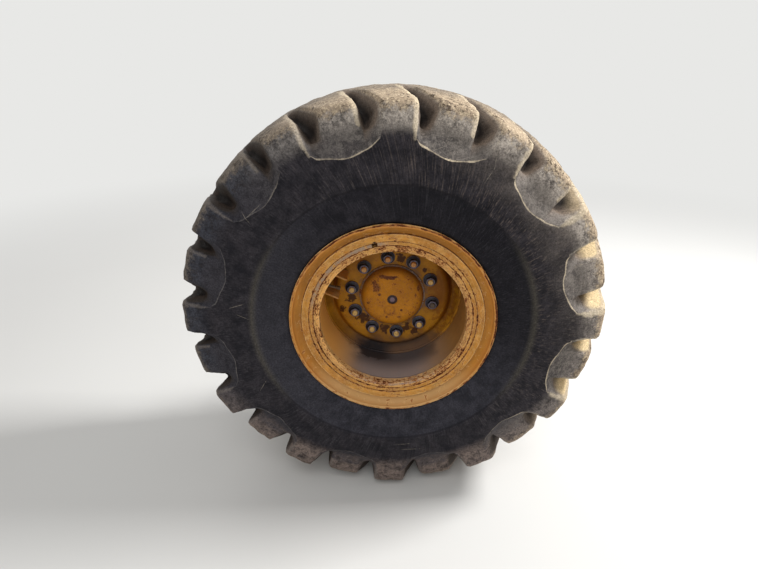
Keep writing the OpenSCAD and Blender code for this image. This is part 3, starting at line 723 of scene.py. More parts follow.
def edge_layers(look, layer, sunny):
    """Edges of the lugs rubbed pale and painted as highlights, the thin ridge with a painted
    highlight, and a few scratches.
    """
    signed = look.attribute("worn")
    worn = look.math("ABSOLUTE", signed)
    uneven = look.less(look.noise(0.025, 6.0, 0.7), 0.5)
    # painted highlight: at the right the less worn edges look up at the sun, and are painted as pale
    # as the others
    upper = look.less(look.times(look.step(signed, -0.05, -0.25), 0.5), 0.16)
    right = look.step(look.axis("X"), 0.45, 0.58)
    exposed = look.plus(look.times(sunny, 0.14), look.times(right, upper))
    # how pale an edge is painted: by its wear, and as a highlight, most on the sunny side
    rubbed = look.plus(worn, look.times(exposed, worn), look.times(uneven, 0.45))
    pale = look.mix(sunny, (116, 108, 102), (204, 188, 160))
    layer = look.lay(layer, pale, look.step(rubbed, 0.76, 0.98), 0.55)
    # painted highlight along the ridge, paler on the sunny side
    wider = look.plus(look.times(sunny, 0.02), look.times(uneven, 0.16))
    line = look.step(look.plus(look.attribute("ridge"), wider), 0.935, 0.99)
    faint = look.plus(0.45, look.times(look.step(look.noise(0.05, 4.0), 0.35, 0.6), 0.40))
    layer = look.lay(layer, look.mix(sunny, (96, 92, 90), (200, 184, 158)), line, faint)
    for scratch in SCRATCHES:
        layer = look.lay(layer, (150, 141, 128), look.stroke(*scratch), 0.5)
    return layer


# %% Rubber finish
def rubber_finish():
    look = Finish("weathered_rubber", roughness=0.8, specular=0.14)
    aslant = look.plus(look.times(look.axis("X"), 0.8), look.times(look.axis("Z"), 0.6))
    # painted sunlight and shade: 1 on the upper right, towards the sun, where the layers take their
    # lit tone, and 0 where they take their shaded tone
    sunny = look.step(aslant, -0.20, 0.52)
    # the foot is painted paler, as light from the floor would make it, and as sand would
    foot = look.step(look.axis("Z"), -0.15, -0.6)
    groove = look.attribute("groove")
    mottled = look.noise(0.06, 7.0, 0.72)
    layer = sidewall_layers(look, sunny, aslant, mottled)
    layer = lug_face_layers(look, layer, sunny, foot, look.noise(0.024, 8.0, 0.82, twist=0.4))
    layer = slot_layers(look, layer, sunny, groove)
    layer, pits = tread_layers(look, layer, sunny, foot, groove)
    layer = edge_layers(look, layer, sunny)
    grain = look.noise(0.006, 3.0, 0.8)
    layer = look.uneven(layer, grain, 0.46)
    height = look.less(look.plus(look.times(mottled, 0.8), look.times(grain, 0.5)), pits)
    return look.use(layer, None, height, depth=0.0035, strength=0.8)


# %% The tyre, rounded and scrubbed
rubber = rubber_finish()
cage = build_tyre()
tyre = piece(cage, "tyre_rubber", "wheel", rubber, stands_for=("tyre",), smooth_to=180)
lugs = tyre.vertex_groups.new(name="lugs")
rounding = tyre.modifiers.new("rounding", "SUBSURF")
rounding.levels = rounding.render_levels = 2
uneven = bpy.data.textures.new("uneven_lugs", "CLOUDS")
uneven.noise_scale = 0.045
uneven.noise_depth = 3
scrub = tyre.modifiers.new("scrub", "DISPLACE")
scrub.texture = uneven
scrub.vertex_group = lugs.name
scrub.texture_coords = "LOCAL"
scrub.mid_level = 0.55
scrub.strength = 0.009

# %% [markdown]
# ## The rim's rings
# A rim of this kind is five rings: a base, two loose flanges, a loose bead seat band and a split
# lock ring that holds them all together. Each is turned from its own section. The flange's lip is
# rolled, so its section has two bends; the others are rolled bars with corners.

# %% Layers for the rings
def bare_metal(look, layer):
    """The upper left of the lock ring is rubbed down to grey metal."""
    left = look.step(look.axis("X"), 0.02, -0.06)
    upper = look.step(look.axis("Z"), 0.02, 0.10)
    broken = look.step(look.noise(0.02, 5.0, 0.7), 0.34, 0.5)
    return look.lay(layer, (142, 126, 112), look.ring(0.3035, 0.018, 0.6), left, upper, broken, 0.85)


def flange_bands(look, layer):
    """A painted highlight in orange along the rolled lip, painted shade in the hollow inside it, and
    a paler tone towards the foot.
    """
    layer = look.lay(layer, (196, 132, 62), look.ring(0.3685, 0.020, 0.1), 0.7)
    layer = look.lay(layer, (160, 108, 42), look.ring(0.350, 0.018, 0.1), 0.6)
    return look.lay(layer, (198, 158, 106), look.step(look.axis("Z"), -0.17, -0.30), 0.7)


def lip_wear(look):
    """The lip is rustiest at the top and on the right."""
    aslant = look.plus(look.times(look.axis("X"), 0.7), look.axis("Z"))
    share = look.plus(0.09, look.times(look.step(aslant, -0.30, 0.15), 0.14))
    return look.times(look.ring(0.3765, 0.012), share)


GAP_MIDDLE = (-0.0668, 0, 0.2957)


def gap_shadow(look, layer):
    """The lock ring's gap is painted as a dark slit, 19 by 30 mm: a painted shadow."""
    layer = bare_metal(look, layer)
    far = look.length(look.place(scale=(1 / 0.019, 0, 1 / 0.030), centre=GAP_MIDDLE))
    return look.lay(layer, (20, 14, 12), look.step(far, 0.56, 0.44))


# %% Paints for the rings, and the flanges
# the glints of the flanges, the rings and the barrel are painted highlights on their edges
flange_paint = worn_paint(
    "flange_paint", (182, 122, 44), (166, 108, 40), (188, 140, 76), dust_share=0.3,
    rust=-0.07, speck=0.010, chips=0.4, zones=((0.378, 0.008, 0.05), (0.342, 0.010, 0.06)),
    glints=((0.3812, 0.0045, 0.95),), seams=((0.3405, 0.004, 0.9),), shade=flange_bands,
    wear=lip_wear, rolled=True,
)
ring_paint = worn_paint(
    "ring_paint", (188, 130, 54), (168, 110, 44), (196, 150, 84), dust_share=0.45,
    rust=-0.01, speck=0.0045, chips=0.5, zones=((0.2945, 0.013, 0.20), (0.3115, 0.009, 0.12)),
    glints=((0.3375, 0.005, 0.6),),
    seams=((0.340, 0.005, 0.9), (0.3117, 0.0045, 0.95), (0.2945, 0.005, 0.9)),
    shade=gap_shadow, rolled=True, mottle=0.28,
)
FLANGE_R = 381.0
FLANGE_FOOT_R = 317.8
FLANGE_T = 12.0
SEAT_PLACE = 247.5
LIP = 38.0
LIP_PLACE = SEAT_PLACE + LIP
LIP_END = LIP_PLACE + 3


def flange_section(side):
    outer = arc(FLANGE_R - LIP, LIP_PLACE, LIP, 180, 90, 12)
    inner = arc(FLANGE_R - LIP, LIP_PLACE, LIP - FLANGE_T, 90, 180, 12)
    section = [(FLANGE_FOOT_R, SEAT_PLACE), *outer, (FLANGE_R, LIP_END)]
    section += [(FLANGE_R - FLANGE_T, LIP_END), *inner, (FLANGE_FOOT_R, SEAT_PLACE + FLANGE_T)]
    return [(r, side * place) for r, place in section]


for name, side in (("outer_flange", -1), ("inner_flange", 1)):
    ring = turned(flange_section(side), steps=180, bevel=2.5)
    piece(ring, name + "_ring", "wheel", flange_paint, stands_for=(name,))

# %% Bead seat band and lock ring
BAND = [
    (298.5, -177.5), (311.5, -177.5), (317.5, -247.5), (317.5, -259.5), (339.5, -259.5),
    (339.5, -267.5), (312, -267.5), (312, -263.5), (298.5, -241),
]
band = turned(BAND, steps=180)
piece(band, "bead_seat_ring", "wheel", ring_paint, stands_for=("bead_seat_band",))
LOCK = [
    (287.3, -240.3), (287.3, -256.7), (295, -256.7), (295, -265.5), (311.5, -265.5),
    (311.5, -263), (297.9, -241),
]
GAP_WIDTH = 20
GAP_R = 305
GAP_AT = 102.7
lock = turned(LOCK, steps=170, gap=math.degrees(GAP_WIDTH / GAP_R), gap_at=GAP_AT)
piece(lock, "split_lock_ring", "wheel", ring_paint, stands_for=("lock_ring",))

# %% [markdown]
# ## The barrel and what has collected in it
# The barrel is the rim base's inside. Its outboard edge, where the lock ring sits, is the most
# rusted place on the wheel. Rain and dust collect at the bottom of the barrel, so the paint there
# is lost under grey dirt, and old grease has run down the disc into the corner.


# %% Barrel paint and rim base
def barrel_dirt_and_light(look, layer):
    across, along, up = [look.axis(letter) for letter in "XYZ"]
    inside = look.step(look.radius(), 0.2865, 0.283)
    lower = look.plus(look.less(0.0, up), look.swing(0.16, 0.12, 5.0, 0.6))
    # brown dust, with grey dirt at the bottom and a pale line along the outboard edge
    layer = look.lay(layer, (142, 112, 78), look.step(lower, 0.02, 0.20), inside, 0.6)
    between = look.times(look.step(across, -0.20, -0.09), look.step(across, 0.24, 0.08))
    layer = look.lay(layer, (118, 113, 122), look.step(lower, 0.17, 0.25), between, inside, 0.92)
    foot = look.step(up, -0.12, -0.22)
    layer = look.lay(layer, (168, 152, 140), look.ring(0.2835, 0.006), foot, 0.6)
    # oily in the corner at the disc, with old grease spilt to the left of the middle
    deep = look.step(along, -0.20, -0.07)
    layer = look.lay(layer, (46, 42, 46), look.step(lower, 0.19, 0.25), deep, inside, 0.75)
    reach = look.step(look.plus(along, look.swing(0.20, 0.05, 6.0, 0.7)), -0.105, -0.085)
    spilt = look.times(look.step(lower, 0.20, 0.24), look.step(across, 0.02, -0.04))
    layer = look.lay(layer, (46, 38, 37), reach, spilt, inside, 0.85)
    # painted shade on the right side, which faces away from the sun, and painted sunlight on the left
    # side, which faces it
    layer = look.lay(layer, (132, 96, 54), look.step(across, 0.10, 0.25), inside, 0.6)
    layer = look.lay(layer, (236, 174, 92), look.step(across, -0.13, -0.25), inside, 0.85)
    # the outboard edge is a mix of pale and rusty spots
    edge = look.step(along, -0.222, -0.240)
    mottle = look.noise(0.007, 6.0, 0.75, where=look.around(0.6))
    layer = look.lay(layer, (204, 152, 92), edge, look.step(mottle, 0.46, 0.56), 0.7)
    return look.lay(layer, (138, 84, 46), edge, look.step(mottle, 0.46, 0.36), 0.8)


def gutter_wear(look):
    """Rust on the outboard edge only: the barrel's inside is sheltered."""
    blotched = look.times(look.step(look.noise(0.05, 4.0), 0.30, 0.60), 0.14)
    return look.times(look.step(look.axis("Y"), -0.225, -0.245), look.plus(0.22, blotched))


barrel_paint = worn_paint(
    "barrel_paint", (204, 150, 74), (188, 132, 64), (196, 156, 98), dust_share=0.25,
    rust=-0.24, speck=0.0045, chips=0.5, glints=((0.2735, 0.005, 0.7), (0.2935, 0.004, 0.4)),
    shade=barrel_dirt_and_light, wear=gutter_wear, rolled=True,
)
BASE = [
    (273, -264), (294.5, -264), (294.5, -257), (287, -257), (287, -240), (297, -240),
    (297, 139.5), (311.5, 183.5), (317.5, 247.5), (317.5, 259.5), (339.5, 259.5), (339.5, 267.5),
    (302.5, 267.5), (297.5, 189.5), (282, 147.5), (282, -216), (273, -234),
]
base = turned(BASE, steps=180)
piece(base, "rim_base_ring", "wheel", barrel_paint, stands_for=("rim_base",))

# %% [markdown]
# ## The disc
# The disc is pressed from thick plate: a flat bolting face, a rolled valley round it, and an edge
# that is welded to the barrel. It is spun from a section with close points in the valley, so that
# it reads as one smooth bend. Rust has bled between the nuts where water stands.


# %% Disc paint
# x and z from the axle, width and height, in metres
DISC_RUST = [
    (-0.119, -0.107, 0.050, 0.050), (-0.030, -0.157, 0.030, 0.044), (0.058, -0.152, 0.040, 0.036),
    (-0.167, -0.014, 0.042, 0.040), (0.035, 0.163, 0.050, 0.036), (0.128, 0.112, 0.016, 0.016),
    (0.095, -0.168, 0.034, 0.026), (-0.205, -0.06, 0.03, 0.03),
]


def disc_marks(look, layer):
    """Orange at the right, brown round the cap, rust between the nuts, and grease at the foot."""
    layer = look.lay(layer, (122, 68, 18), look.spot(0.215, 0.02, 0.11, 0.30, 0.5), 0.6)
    blotched = look.step(look.noise(0.03, 5.0), 0.44, 0.60)
    layer = look.lay(layer, (112, 84, 68), look.ring(0.140, 0.025), blotched, 0.6)
    for spot in DISC_RUST:
        layer = look.lay(layer, (50, 18, 6), look.spot(*spot, 0.5), 0.92)
    lower = look.plus(look.less(0.0, look.axis("Z")), look.swing(0.14, 0.09, 5.0, 0.6))
    layer = look.lay(layer, (78, 62, 58), look.step(lower, 0.15, 0.235), 0.85)
    left = look.step(look.axis("X"), 0.03, -0.05)
    return look.lay(layer, (26, 24, 28), look.step(lower, 0.215, 0.262), left, 0.95)


def under_grease(look):
    """No rust shows through the grease at the bottom."""
    return look.times(look.step(look.axis("Z"), -0.17, -0.22), -0.3)


disc_paint = worn_paint(
    "disc_paint", (178, 122, 26), (148, 98, 24), (146, 108, 52), dust_share=0.2, rust=-0.06,
    speck=0.012, chips=0.1, shade=disc_marks, wear=under_grease,
)

# %% Disc
VALLEY = [
    (213, -35), (219, -34.4), (224.5, -32.4), (229, -29), (233, -23.5), (236.5, -17), (239.5, -9.5),
    (242.5, -2.5), (245.5, 1.8), (249, 4.6), (253, 5), (257, 3.6), (262, 0), (267, -6), (272, -13.5),
    (277, -21), (282, -27),
]
BEHIND = [
    (282, -1), (275, 11), (266, 19), (256, 23.5), (246, 24), (237, 20.5), (230, 12), (226, 2),
    (221, -8), (215, -14), (208, -16),
]
disc = turned([(135, -35), *VALLEY, *BEHIND, (135, -16)], steps=180, bevel=1.0)
piece(disc, "wheel_disc_plate", "wheel", disc_paint, stands_for=("wheel_disc",), smooth_to=24)


# %% Weld bead
def weld_bead(radius, place, size, ripples):
    """A ring of weld with the ripples that the torch leaves."""
    made = bmesh.new()
    section = bmesh.ops.create_circle(made, segments=8, radius=size * MM)["verts"]
    bmesh.ops.translate(made, verts=section, vec=(radius * MM, place * MM - WHEEL_OUT, 0))
    spin(made, section + made.edges[:], ripples * 3, use_merge=True)
    for vertex in made.verts:
        turn = math.atan2(vertex.co.z, vertex.co.x)
        swell = 1 + 0.14 * math.sin(turn * ripples) + 0.10 * math.sin(turn * 7)
        swell += 0.06 * math.sin(turn * 17 + 1)
        across, up = math.cos(turn) * radius * MM, math.sin(turn) * radius * MM
        middle = Vector((across, place * MM - WHEEL_OUT, up))
        vertex.co = middle + (vertex.co - middle) * swell
    return made


bead = weld_bead(radius=279.5, place=-27.5, size=6.5, ripples=120)
piece(bead, "disc_weld", "wheel", disc_paint, smooth_to=60)

# %% [markdown]
# ## Hub, cap and plug
# The hub's pilot comes through the disc and carries a dished cap. The cap is a shallow pressed
# dome, so its section is a string of points on one soft curve. In its middle is a filler hole with
# a screwed plug, sunk a little, and under the hole is the mark of an old weld.


# %% Cap
# x and z from the axle, width and height, in metres
CAP_RUST = [
    (-0.040, 0.098, 0.030, 0.013), (-0.012, 0.094, 0.044, 0.014), (0.012, 0.097, 0.022, 0.011),
    (-0.063, 0.052, 0.028, 0.034), (-0.072, 0.072, 0.018, 0.016), (0.037, -0.047, 0.011, 0.011),
    (0.028, -0.078, 0.016, 0.010), (0.093, 0.019, 0.009, 0.016), (0.104, 0.045, 0.012, 0.024),
    (-0.096, -0.016, 0.012, 0.012), (-0.022, -0.078, 0.009, 0.010), (-0.052, 0.022, 0.012, 0.010),
]
OLD_WELD_AT = (-0.011, 0, -0.047)
OLD_WELD_R = 0.020


def cap_marks(look, layer):
    """Rust spots, a painted shade on the dome's rounded rim, and the ring of the old weld."""
    for spot in CAP_RUST:
        layer = look.lay(layer, (74, 30, 18), look.spot(*spot, 0.3), 0.9)
    # painted shade: darker towards the rim, where the dome curves away
    layer = look.lay(layer, (112, 66, 24), look.step(look.radius(), 0.106, 0.126), 0.55)
    off = look.less(look.length(look.place(scale=(1, 0, 1), centre=OLD_WELD_AT)), OLD_WELD_R)
    ring = look.step(look.math("ABSOLUTE", off), 0.006, 0.002)
    lower = look.plus(0.4, look.times(look.step(look.axis("Z"), -0.040, -0.052), 0.6))
    broken = look.step(look.noise(0.012, 5.0, 0.7), 0.36, 0.52)
    return look.lay(layer, (112, 62, 24), ring, lower, broken, 0.8)


cap_paint = worn_paint(
    "cap_paint", (182, 118, 20), (166, 106, 18), (170, 118, 46), dust_share=0.12, rust=0.01,
    speck=0.006, chips=0.12, shade=cap_marks,
)
DOME = [
    (127, -39), (127, -45), (125.6, -52), (122.5, -59), (117, -66), (109, -72.5), (99, -77.5),
    (86, -80.6), (70, -82), (45, -82.8), (24, -83),
]
UNDER_DOME = [(20.5, -82), (20.5, -76), (99, -71), (115, -58), (117, -48), (111, -39)]
cap = turned(DOME + UNDER_DOME, bevel=1.0)
piece(cap, "hub_cap_dome", "wheel", cap_paint, stands_for=("hub_cap",), smooth_to=18)


# %% Hub and plug
def press_hexagon(made, across_flats, low, high, corner=0.566, hole=0.45):
    """Moves the rings between two places out to a hexagon with slightly rounded corners. The corner
    and the hole, which stays round, are parts of the width across flats."""
    for vertex in made.verts:
        off = Vector((vertex.co.x, 0, vertex.co.z))
        if low <= outboard(vertex.co) <= high and off.length > across_flats * hole * MM:
            turn = math.degrees(math.atan2(vertex.co.z, vertex.co.x)) % 60 - 30
            reach = min(across_flats / 2 / math.cos(math.radians(turn)), across_flats * corner) * MM
            vertex.co.x, _, vertex.co.z = off.normalized() * reach


def dusty_steel(name, base, dust, share, roughness=0.55, metallic=0.4):
    """Bare or blackened steel with dust and a little rust."""
    look = Finish(name, roughness=roughness, metallic=metallic)
    dusty = look.step(look.noise(0.02, 5.0, 0.65), 0.62 - share * 0.4, 0.80 - share * 0.3)
    layer = look.mix(look.times(dusty, 0.9), base, dust)
    layer = look.lay(layer, (96, 54, 32), look.step(look.noise(0.011, 6.0, 0.7), 0.60, 0.68), 0.8)
    rough = look.add("MapRange", {"Value": dusty, "To Min": roughness, "To Max": 0.9})
    return look.use(layer, rough, look.noise(0.003, 4.0, 0.6), depth=0.0006)


def second_material(made, where):
    """Gives the faces whose middle passes a test the second material."""
    for face in made.faces:
        if where(face.calc_center_median()):
            face.material_index = 1


hub_paint = worn_paint(
    "hub_paint", (112, 90, 76), (92, 74, 68), (132, 116, 112), dust_share=0.5, rust=0.03,
)
HUB = [
    (111, -39), (134.4, -39), (134.4, -16), (198, -16), (198, 8), (194, 12), (147.9, 12), (131, 28),
    (114, 62), (114, 170), (110, 174), (84, 174), (84, 170), (60.1, 170), (60.1, 122), (74, 122),
    (74, 44), (42.1, 30), (42.1, -12), (111, -12),
]
hub = turned(HUB, bevel=1.5)
piece(hub, "hub_casting", "wheel", hub_paint, stands_for=("hub",), smooth_to=20)
plug_steel = dusty_steel("plug_steel", (34, 16, 14), (84, 50, 44), 0.25, 0.5, 0.2)
# the plug's hexagon top gets a paler finish, a painted highlight
plug_head_highlight = dusty_steel("plug_head_highlight", (104, 84, 94), (140, 116, 116), 0.4, 0.45, 0.2)
PLUG = [
    (0, -83), (7, -83), (10.6, -81.5), (10.9, -81), (10.9, -79), (14, -78), (20.4, -78),
    (20.4, -76), (0, -76),
]
PLUG_AF = 21
PLUG_TOP = 81.8
plug = turned(PLUG, steps=36, bevel=0)
press_hexagon(plug, PLUG_AF, low=78.5, high=81.2)
soften(plug, 0.5 * MM, 28)
second_material(plug, lambda middle: outboard(middle) > PLUG_TOP)
finishes = [plug_steel, plug_head_highlight]
piece(plug, "filler_plug", "wheel", finishes, stands_for=("cap_plug",), smooth_to=20)

# %% [markdown]
# ## Studs and nuts
# Each nut has a coned collar that centres the wheel, and a hexagon on it with its top corners
# turned away. One nut is spun from a section, its upper rings are pressed out to a hexagon, and
# it is then copied round the circle. The studs' ends stand out of the nuts, with a few turns of
# thread and a small chamfer.

# %% Nuts
STUDS = 10
STUD_CIRCLE = 167.5
STUD_AT = 24.4
DISC_FACE = -35


def copies_round(made, place):
    """Moves a shape made round its own axis out onto the studs' circle, and copies it round."""
    bmesh.ops.translate(made, verts=made.verts, vec=(STUD_CIRCLE * MM, place * MM, 0))
    rotate(made, STUD_AT)
    geom = made.verts[:] + made.edges[:] + made.faces[:]
    spin(made, geom, STUDS - 1, degrees=360 / STUDS * (STUDS - 1), use_duplicate=True)


nut_steel = dusty_steel("nut_steel", (24, 23, 33), (76, 66, 70), 0.25, 0.42, 0.35)
# the paler finish on the nuts' tops and collar corners is a painted highlight
nut_edge_highlight = dusty_steel("nut_edge_highlight", (104, 98, 112), (132, 118, 122), 0.30, 0.5, 0.3)
NUT = [
    (11.2, 0), (28.5, 0), (28.5, -5), (26.5, -7), (18.6, -10.5), (18.4, -11), (18.4, -26.6),
    (16.9, -29), (12.6, -29), (11.2, -27.6),
]
NUT_AF = 33.0
NUT_TOP = 26.6
NUT_HOLE = 13.5
COLLAR_CORNER = (4, 7.2)


def is_nut_edge(middle):
    """The nut's top and its collar's corner, which get the paler finish as a painted highlight."""
    at_edge = outboard(middle) > NUT_TOP or COLLAR_CORNER[0] < outboard(middle) < COLLAR_CORNER[1]
    return at_edge and Vector((middle.x, middle.z)).length / MM > NUT_HOLE


nut = turned(NUT, steps=36, bevel=0)
press_hexagon(nut, NUT_AF, low=10.9, high=26.7)
soften(nut, 0.5 * MM, 28)
second_material(nut, is_nut_edge)
copies_round(nut, DISC_FACE)
finishes = [nut_steel, nut_edge_highlight]
piece(nut, "wheel_nut_set", "wheel", finishes, stands_for=("wheel_nuts",), smooth_to=20)


# %% Studs
def stud_finish():
    """Worn paint on the ends, redder on the upper studs, and bare on the one at the right."""
    look = Finish("stud_ends", roughness=0.55, metallic=0.2)
    worn = look.step(look.noise(0.012, 5.0, 0.65), 0.42, 0.62)
    layer = look.mix(worn, (206, 172, 104), (176, 132, 72))
    layer = look.lay(layer, (178, 108, 48), look.step(look.axis("Z"), 0.05, 0.15), 0.6)
    layer = look.lay(layer, (58, 50, 54), look.spot(0.164, -0.0337, 0.05, 0.05, 0.1), 0.9)
    layer = look.lay(layer, (70, 62, 56), look.step(look.axis("Y"), -0.06, -0.03))
    return look.use(layer, None, look.noise(0.003, 3.0), depth=0.0005)


STUD_R = 11
THREAD_DEPTH = 1.2
THREAD = [(STUD_R - THREAD_DEPTH * (k % 2), -58 - 1.25 * k) for k in range(9)]
STUD = [(0, 22), (16, 22), (17.6, 20.4), (17.6, 12), (STUD_R, 12), (STUD_R, -57), *THREAD]
STUD += [(9.8, -69.6), (8.6, -71), (0, -71)]
stud = turned(STUD, steps=28, bevel=0)
copies_round(stud, 0)
paint = stud_finish()
piece(stud, "wheel_stud_set", "wheel", paint, stands_for=("wheel_studs",), smooth_to=30)

# %% [markdown]
# ## Valve and its guard
# Two plates stand between the barrel and the disc, one each side of the valve, so that a stone
# can't snap it. They are plain flat bar, with worn bright edges. The valve is a brass stem that
# points in along the radius, with its cap at the inner end.

# %% Valve guard
# angles from the right, in degrees; the rest is in millimetres
GUARD_AT = 155.0
GUARD_OFF = 26.0
GUARD_PITCH = 86.0
GUARD_SIZE = Vector((72, 88, 7))
GUARD_R = 239
GUARD_PLACE = -79
guard_paint = worn_paint(
    "guard_paint", (196, 136, 56), (176, 126, 66), (180, 150, 108), dust_share=0.45, rust=-0.03,
)


def guard_plates():
    made = bmesh.new()
    for side in (-0.5, 0.5):
        plate = bmesh.ops.create_cube(made, size=1)["verts"]
        bmesh.ops.scale(made, verts=plate, vec=GUARD_SIZE * MM)
        off = (GUARD_OFF + side * GUARD_PITCH) * MM
        bmesh.ops.translate(made, verts=plate, vec=(GUARD_R * MM, GUARD_PLACE * MM - WHEEL_OUT, off))
    soften(made, 1.5 * MM)
    rotate(made, GUARD_AT)
    return made


plates = guard_plates()
piece(plates, "valve_guard_plates", "wheel", guard_paint, stands_for=("valve_guard",))

# %% Valve
VALVE_AT = 165.0
VALVE_PLACE = -94.8
# its half section, as (radius of the stem, minus its distance from the axle)
VALVE = [
    (0, -214), (6.2, -214), (7.4, -215.5), (7.4, -219), (6.8, -220), (7.4, -221), (7.4, -229),
    (5.2, -230.5), (5.2, -233), (5.6, -234), (5.6, -268), (10.2, -268), (10.2, -294.5), (0, -294.5),
]


def valve():
    """A stem along the radius: its section is spun round its own axis, then turned into place."""
    made = turned(VALVE, steps=32, bevel=0.4)
    bmesh.ops.translate(made, verts=made.verts, vec=(0, WHEEL_OUT, 0))
    rotate(made, 90, axis="Z")
    bmesh.ops.translate(made, verts=made.verts, vec=(0, VALVE_PLACE * MM - WHEEL_OUT, 0))
    rotate(made, VALVE_AT)
    return made


brass = dusty_steel("valve_brass", (92, 72, 46), (112, 96, 78), 0.5, 0.5, 0.3)
piece(valve(), "valve_body", "wheel", brass, stands_for=("valve_stem",), smooth_to=30)

# %% [markdown]
# ## Behind the wheel
# The seal, spindle, knuckle, bushings and arm carry the wheel. Their CAD shapes are right but have
# knife edges, so each is copied, its flat faces are joined and its edges are rounded. The two
# castings are then rebuilt from fine cubes and smoothed, which rounds every edge and corner as
# sand casting does. Road dirt lies over their old paint.

# %% Finishes behind the wheel
casting_paint = worn_paint(
    "casting_paint", (150, 108, 46), (126, 92, 50), (128, 110, 88), dust_share=0.6, rust=0.02,
    speck=0.014,
)
spindle_steel = dusty_steel("spindle_steel", (84, 82, 82), (110, 98, 86), 0.5, 0.45, 0.7)
bushing_bronze = dusty_steel("bushing_bronze", (150, 112, 62), (120, 96, 66), 0.25, 0.4, 0.8)
seal_rubber = dusty_steel("seal_rubber", (28, 28, 30), (76, 68, 60), 0.4, 0.7, 0.0)


# %% Pieces behind the wheel
def rounded_copy(name, width):
    """A copy of a CAD node's mesh, with its flat faces joined and its edges rounded."""
    made = bmesh.new()
    made.from_mesh(nodes[name].data)
    bmesh.ops.remove_doubles(made, verts=made.verts, dist=1e-5)
    bmesh.ops.dissolve_limit(made, angle_limit=math.radians(0.5), verts=made.verts, edges=made.edges)
    soften(made, width * MM, 30)
    return made


def cast_in_sand(made):
    """Rebuilds a piece from fine cubes and smooths it."""
    cubes = made.modifiers.new("sand", "REMESH")
    cubes.mode = "VOXEL"
    cubes.voxel_size = 2.5 * MM
    cubes.use_smooth_shade = True
    rounding = made.modifiers.new("rounding", "SMOOTH")
    rounding.factor = 0.5
    rounding.iterations = 12


# CAD node, name of its copy, body, slot, finish, width of the rounded edges in mm
CARRIERS = [
    ("knuckle", "knuckle_casting", "knuckle", "casting", casting_paint, 0.5),
    ("steering_arm", "steering_arm_casting", "knuckle", "casting", casting_paint, 0.5),
    ("spindle", "spindle_forging", "knuckle", "steel", spindle_steel, 1.5),
    ("spindle_bolts", "spindle_bolt_set", "knuckle", "steel", spindle_steel, 0.8),
    ("arm_bolts", "arm_bolt_set", "knuckle", "steel", spindle_steel, 0.8),
    ("kingpin_bushings", "kingpin_bushing_set", "knuckle", "bronze", bushing_bronze, 1.0),
    ("hub_seal", "hub_seal_ring", "wheel", "seal", seal_rubber, 0.8),
]
for node, name, body, slot, finish, width in CARRIERS:
    copied = rounded_copy(node, width)
    made = piece(copied, name, body, finish, stands_for=(node,), smooth_to=24)
    if slot == "casting":
        cast_in_sand(made)

# %% [markdown]
# ## Floor, lamps and world
# A plain pale floor touches the foot of the tyre and keeps its shadow. The light is soft and
# comes mostly from high on the right, as in the photograph, at a level at which a colour renders
# about as it was written. Far out, the floor takes the backdrop's own pale grey, so no horizon
# cuts across the picture.

# %% Stage
BACKDROP = colour(232, 232, 230)
FLOOR_R = 60
FADE = (2.0, 7.0)


def seen_directly(tree):
    """1 where the camera, a reflection or glass sees the surface, and 0 for its light."""
    path = tree.nodes.new("ShaderNodeLightPath")
    total = path.outputs["Is Camera Ray"]
    for other in ("Is Glossy Ray", "Is Transmission Ray"):
        both = tree.nodes.new("ShaderNodeMath")
        both.operation = "MAXIMUM"
        tree.links.new(total, both.inputs[0])
        tree.links.new(path.outputs[other], both.inputs[1])
        total = both.outputs[0]
    return total


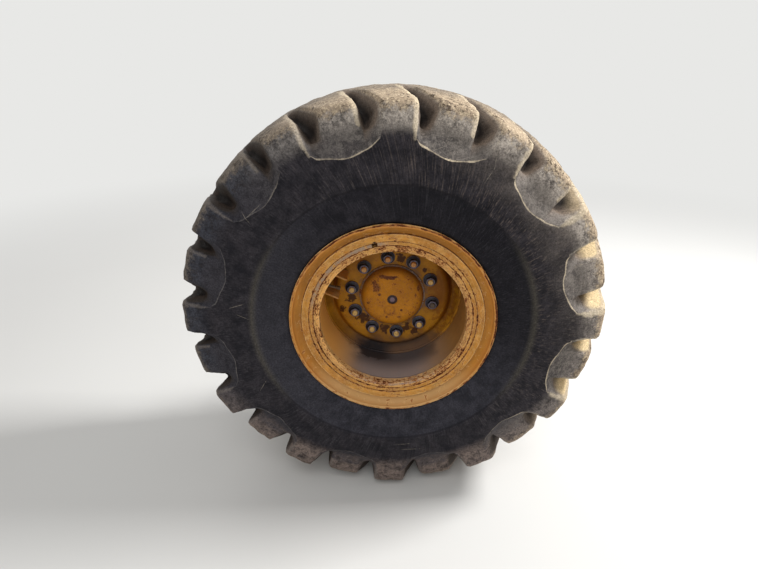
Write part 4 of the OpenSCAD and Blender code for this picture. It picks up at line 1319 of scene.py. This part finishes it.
floor = bmesh.new()
bmesh.ops.create_circle(floor, cap_ends=True, segments=96, radius=FLOOR_R)
bmesh.ops.translate(floor, verts=floor.verts, vec=(0, 0, cad_box[0].z - 0.5 * MM))
floor_mesh = bpy.data.meshes.new("floor")
floor.to_mesh(floor_mesh)
floor.free()
floor_look = Finish("pale_floor", roughness=0.95, specular=0.05)
floor_look.use(floor_look.mix(floor_look.noise(1.5, 2.0), (206, 205, 202), (212, 211, 208)))
far_out = floor_look.step(floor_look.length(floor_look.place()), *FADE)
glow = floor_look.add("Emission", {"Color": BACKDROP, "Strength": 1.0})
fade = floor_look.times(far_out, seen_directly(floor_look.tree))
blend = floor_look.add("MixShader", {0: fade, 1: floor_look.shader.outputs[0], 2: glow})
output = next(n for n in floor_look.tree.nodes if n.type == "OUTPUT_MATERIAL")
floor_look.feed(output.inputs["Surface"], blend)
floor_mesh.materials.append(floor_look.material)
floor_object = bpy.data.objects.new("floor", floor_mesh)
scene.collection.objects.link(floor_object)

# %% World
world = bpy.data.worlds.new("studio")
scene.world = world
world.use_nodes = True
sky = world.node_tree
lighting = sky.nodes["Background"]
lighting.inputs["Color"].default_value = (1.0, 1.0, 1.0, 1)
lighting.inputs["Strength"].default_value = 0.45
backdrop = sky.nodes.new("ShaderNodeBackground")
backdrop.inputs["Color"].default_value = BACKDROP
either = sky.nodes.new("ShaderNodeMixShader")
sky.links.new(seen_directly(sky), either.inputs[0])
sky.links.new(lighting.outputs[0], either.inputs[1])
sky.links.new(backdrop.outputs[0], either.inputs[2])
sky.links.new(either.outputs[0], sky.nodes["World Output"].inputs["Surface"])


# %% Lamps
def lamp(name, place, size, level):
    """A square lamp that gives `level` of full white at the wheel, facing it."""
    light = bpy.data.lights.new(name, "AREA")
    light.size = size
    towards = Vector((0, -WHEEL_OUT, 0)) - Vector(place)
    light.energy = level * math.pi ** 2 * towards.length_squared
    made = bpy.data.objects.new(name, light)
    made.location = place
    made.rotation_euler = towards.to_track_quat("-Z", "Y").to_euler()
    scene.collection.objects.link(made)
    print(name, round(light.energy), "W")


lamp("key_lamp", place=(4.4, 0.3, 4.1), size=1.4, level=1.40)
lamp("front_lamp", place=(-0.5, -4.4, 4.4), size=3.4, level=0.34)
lamp("rear_lamp", place=(-1.5, 4.5, 3.5), size=3.0, level=0.20)
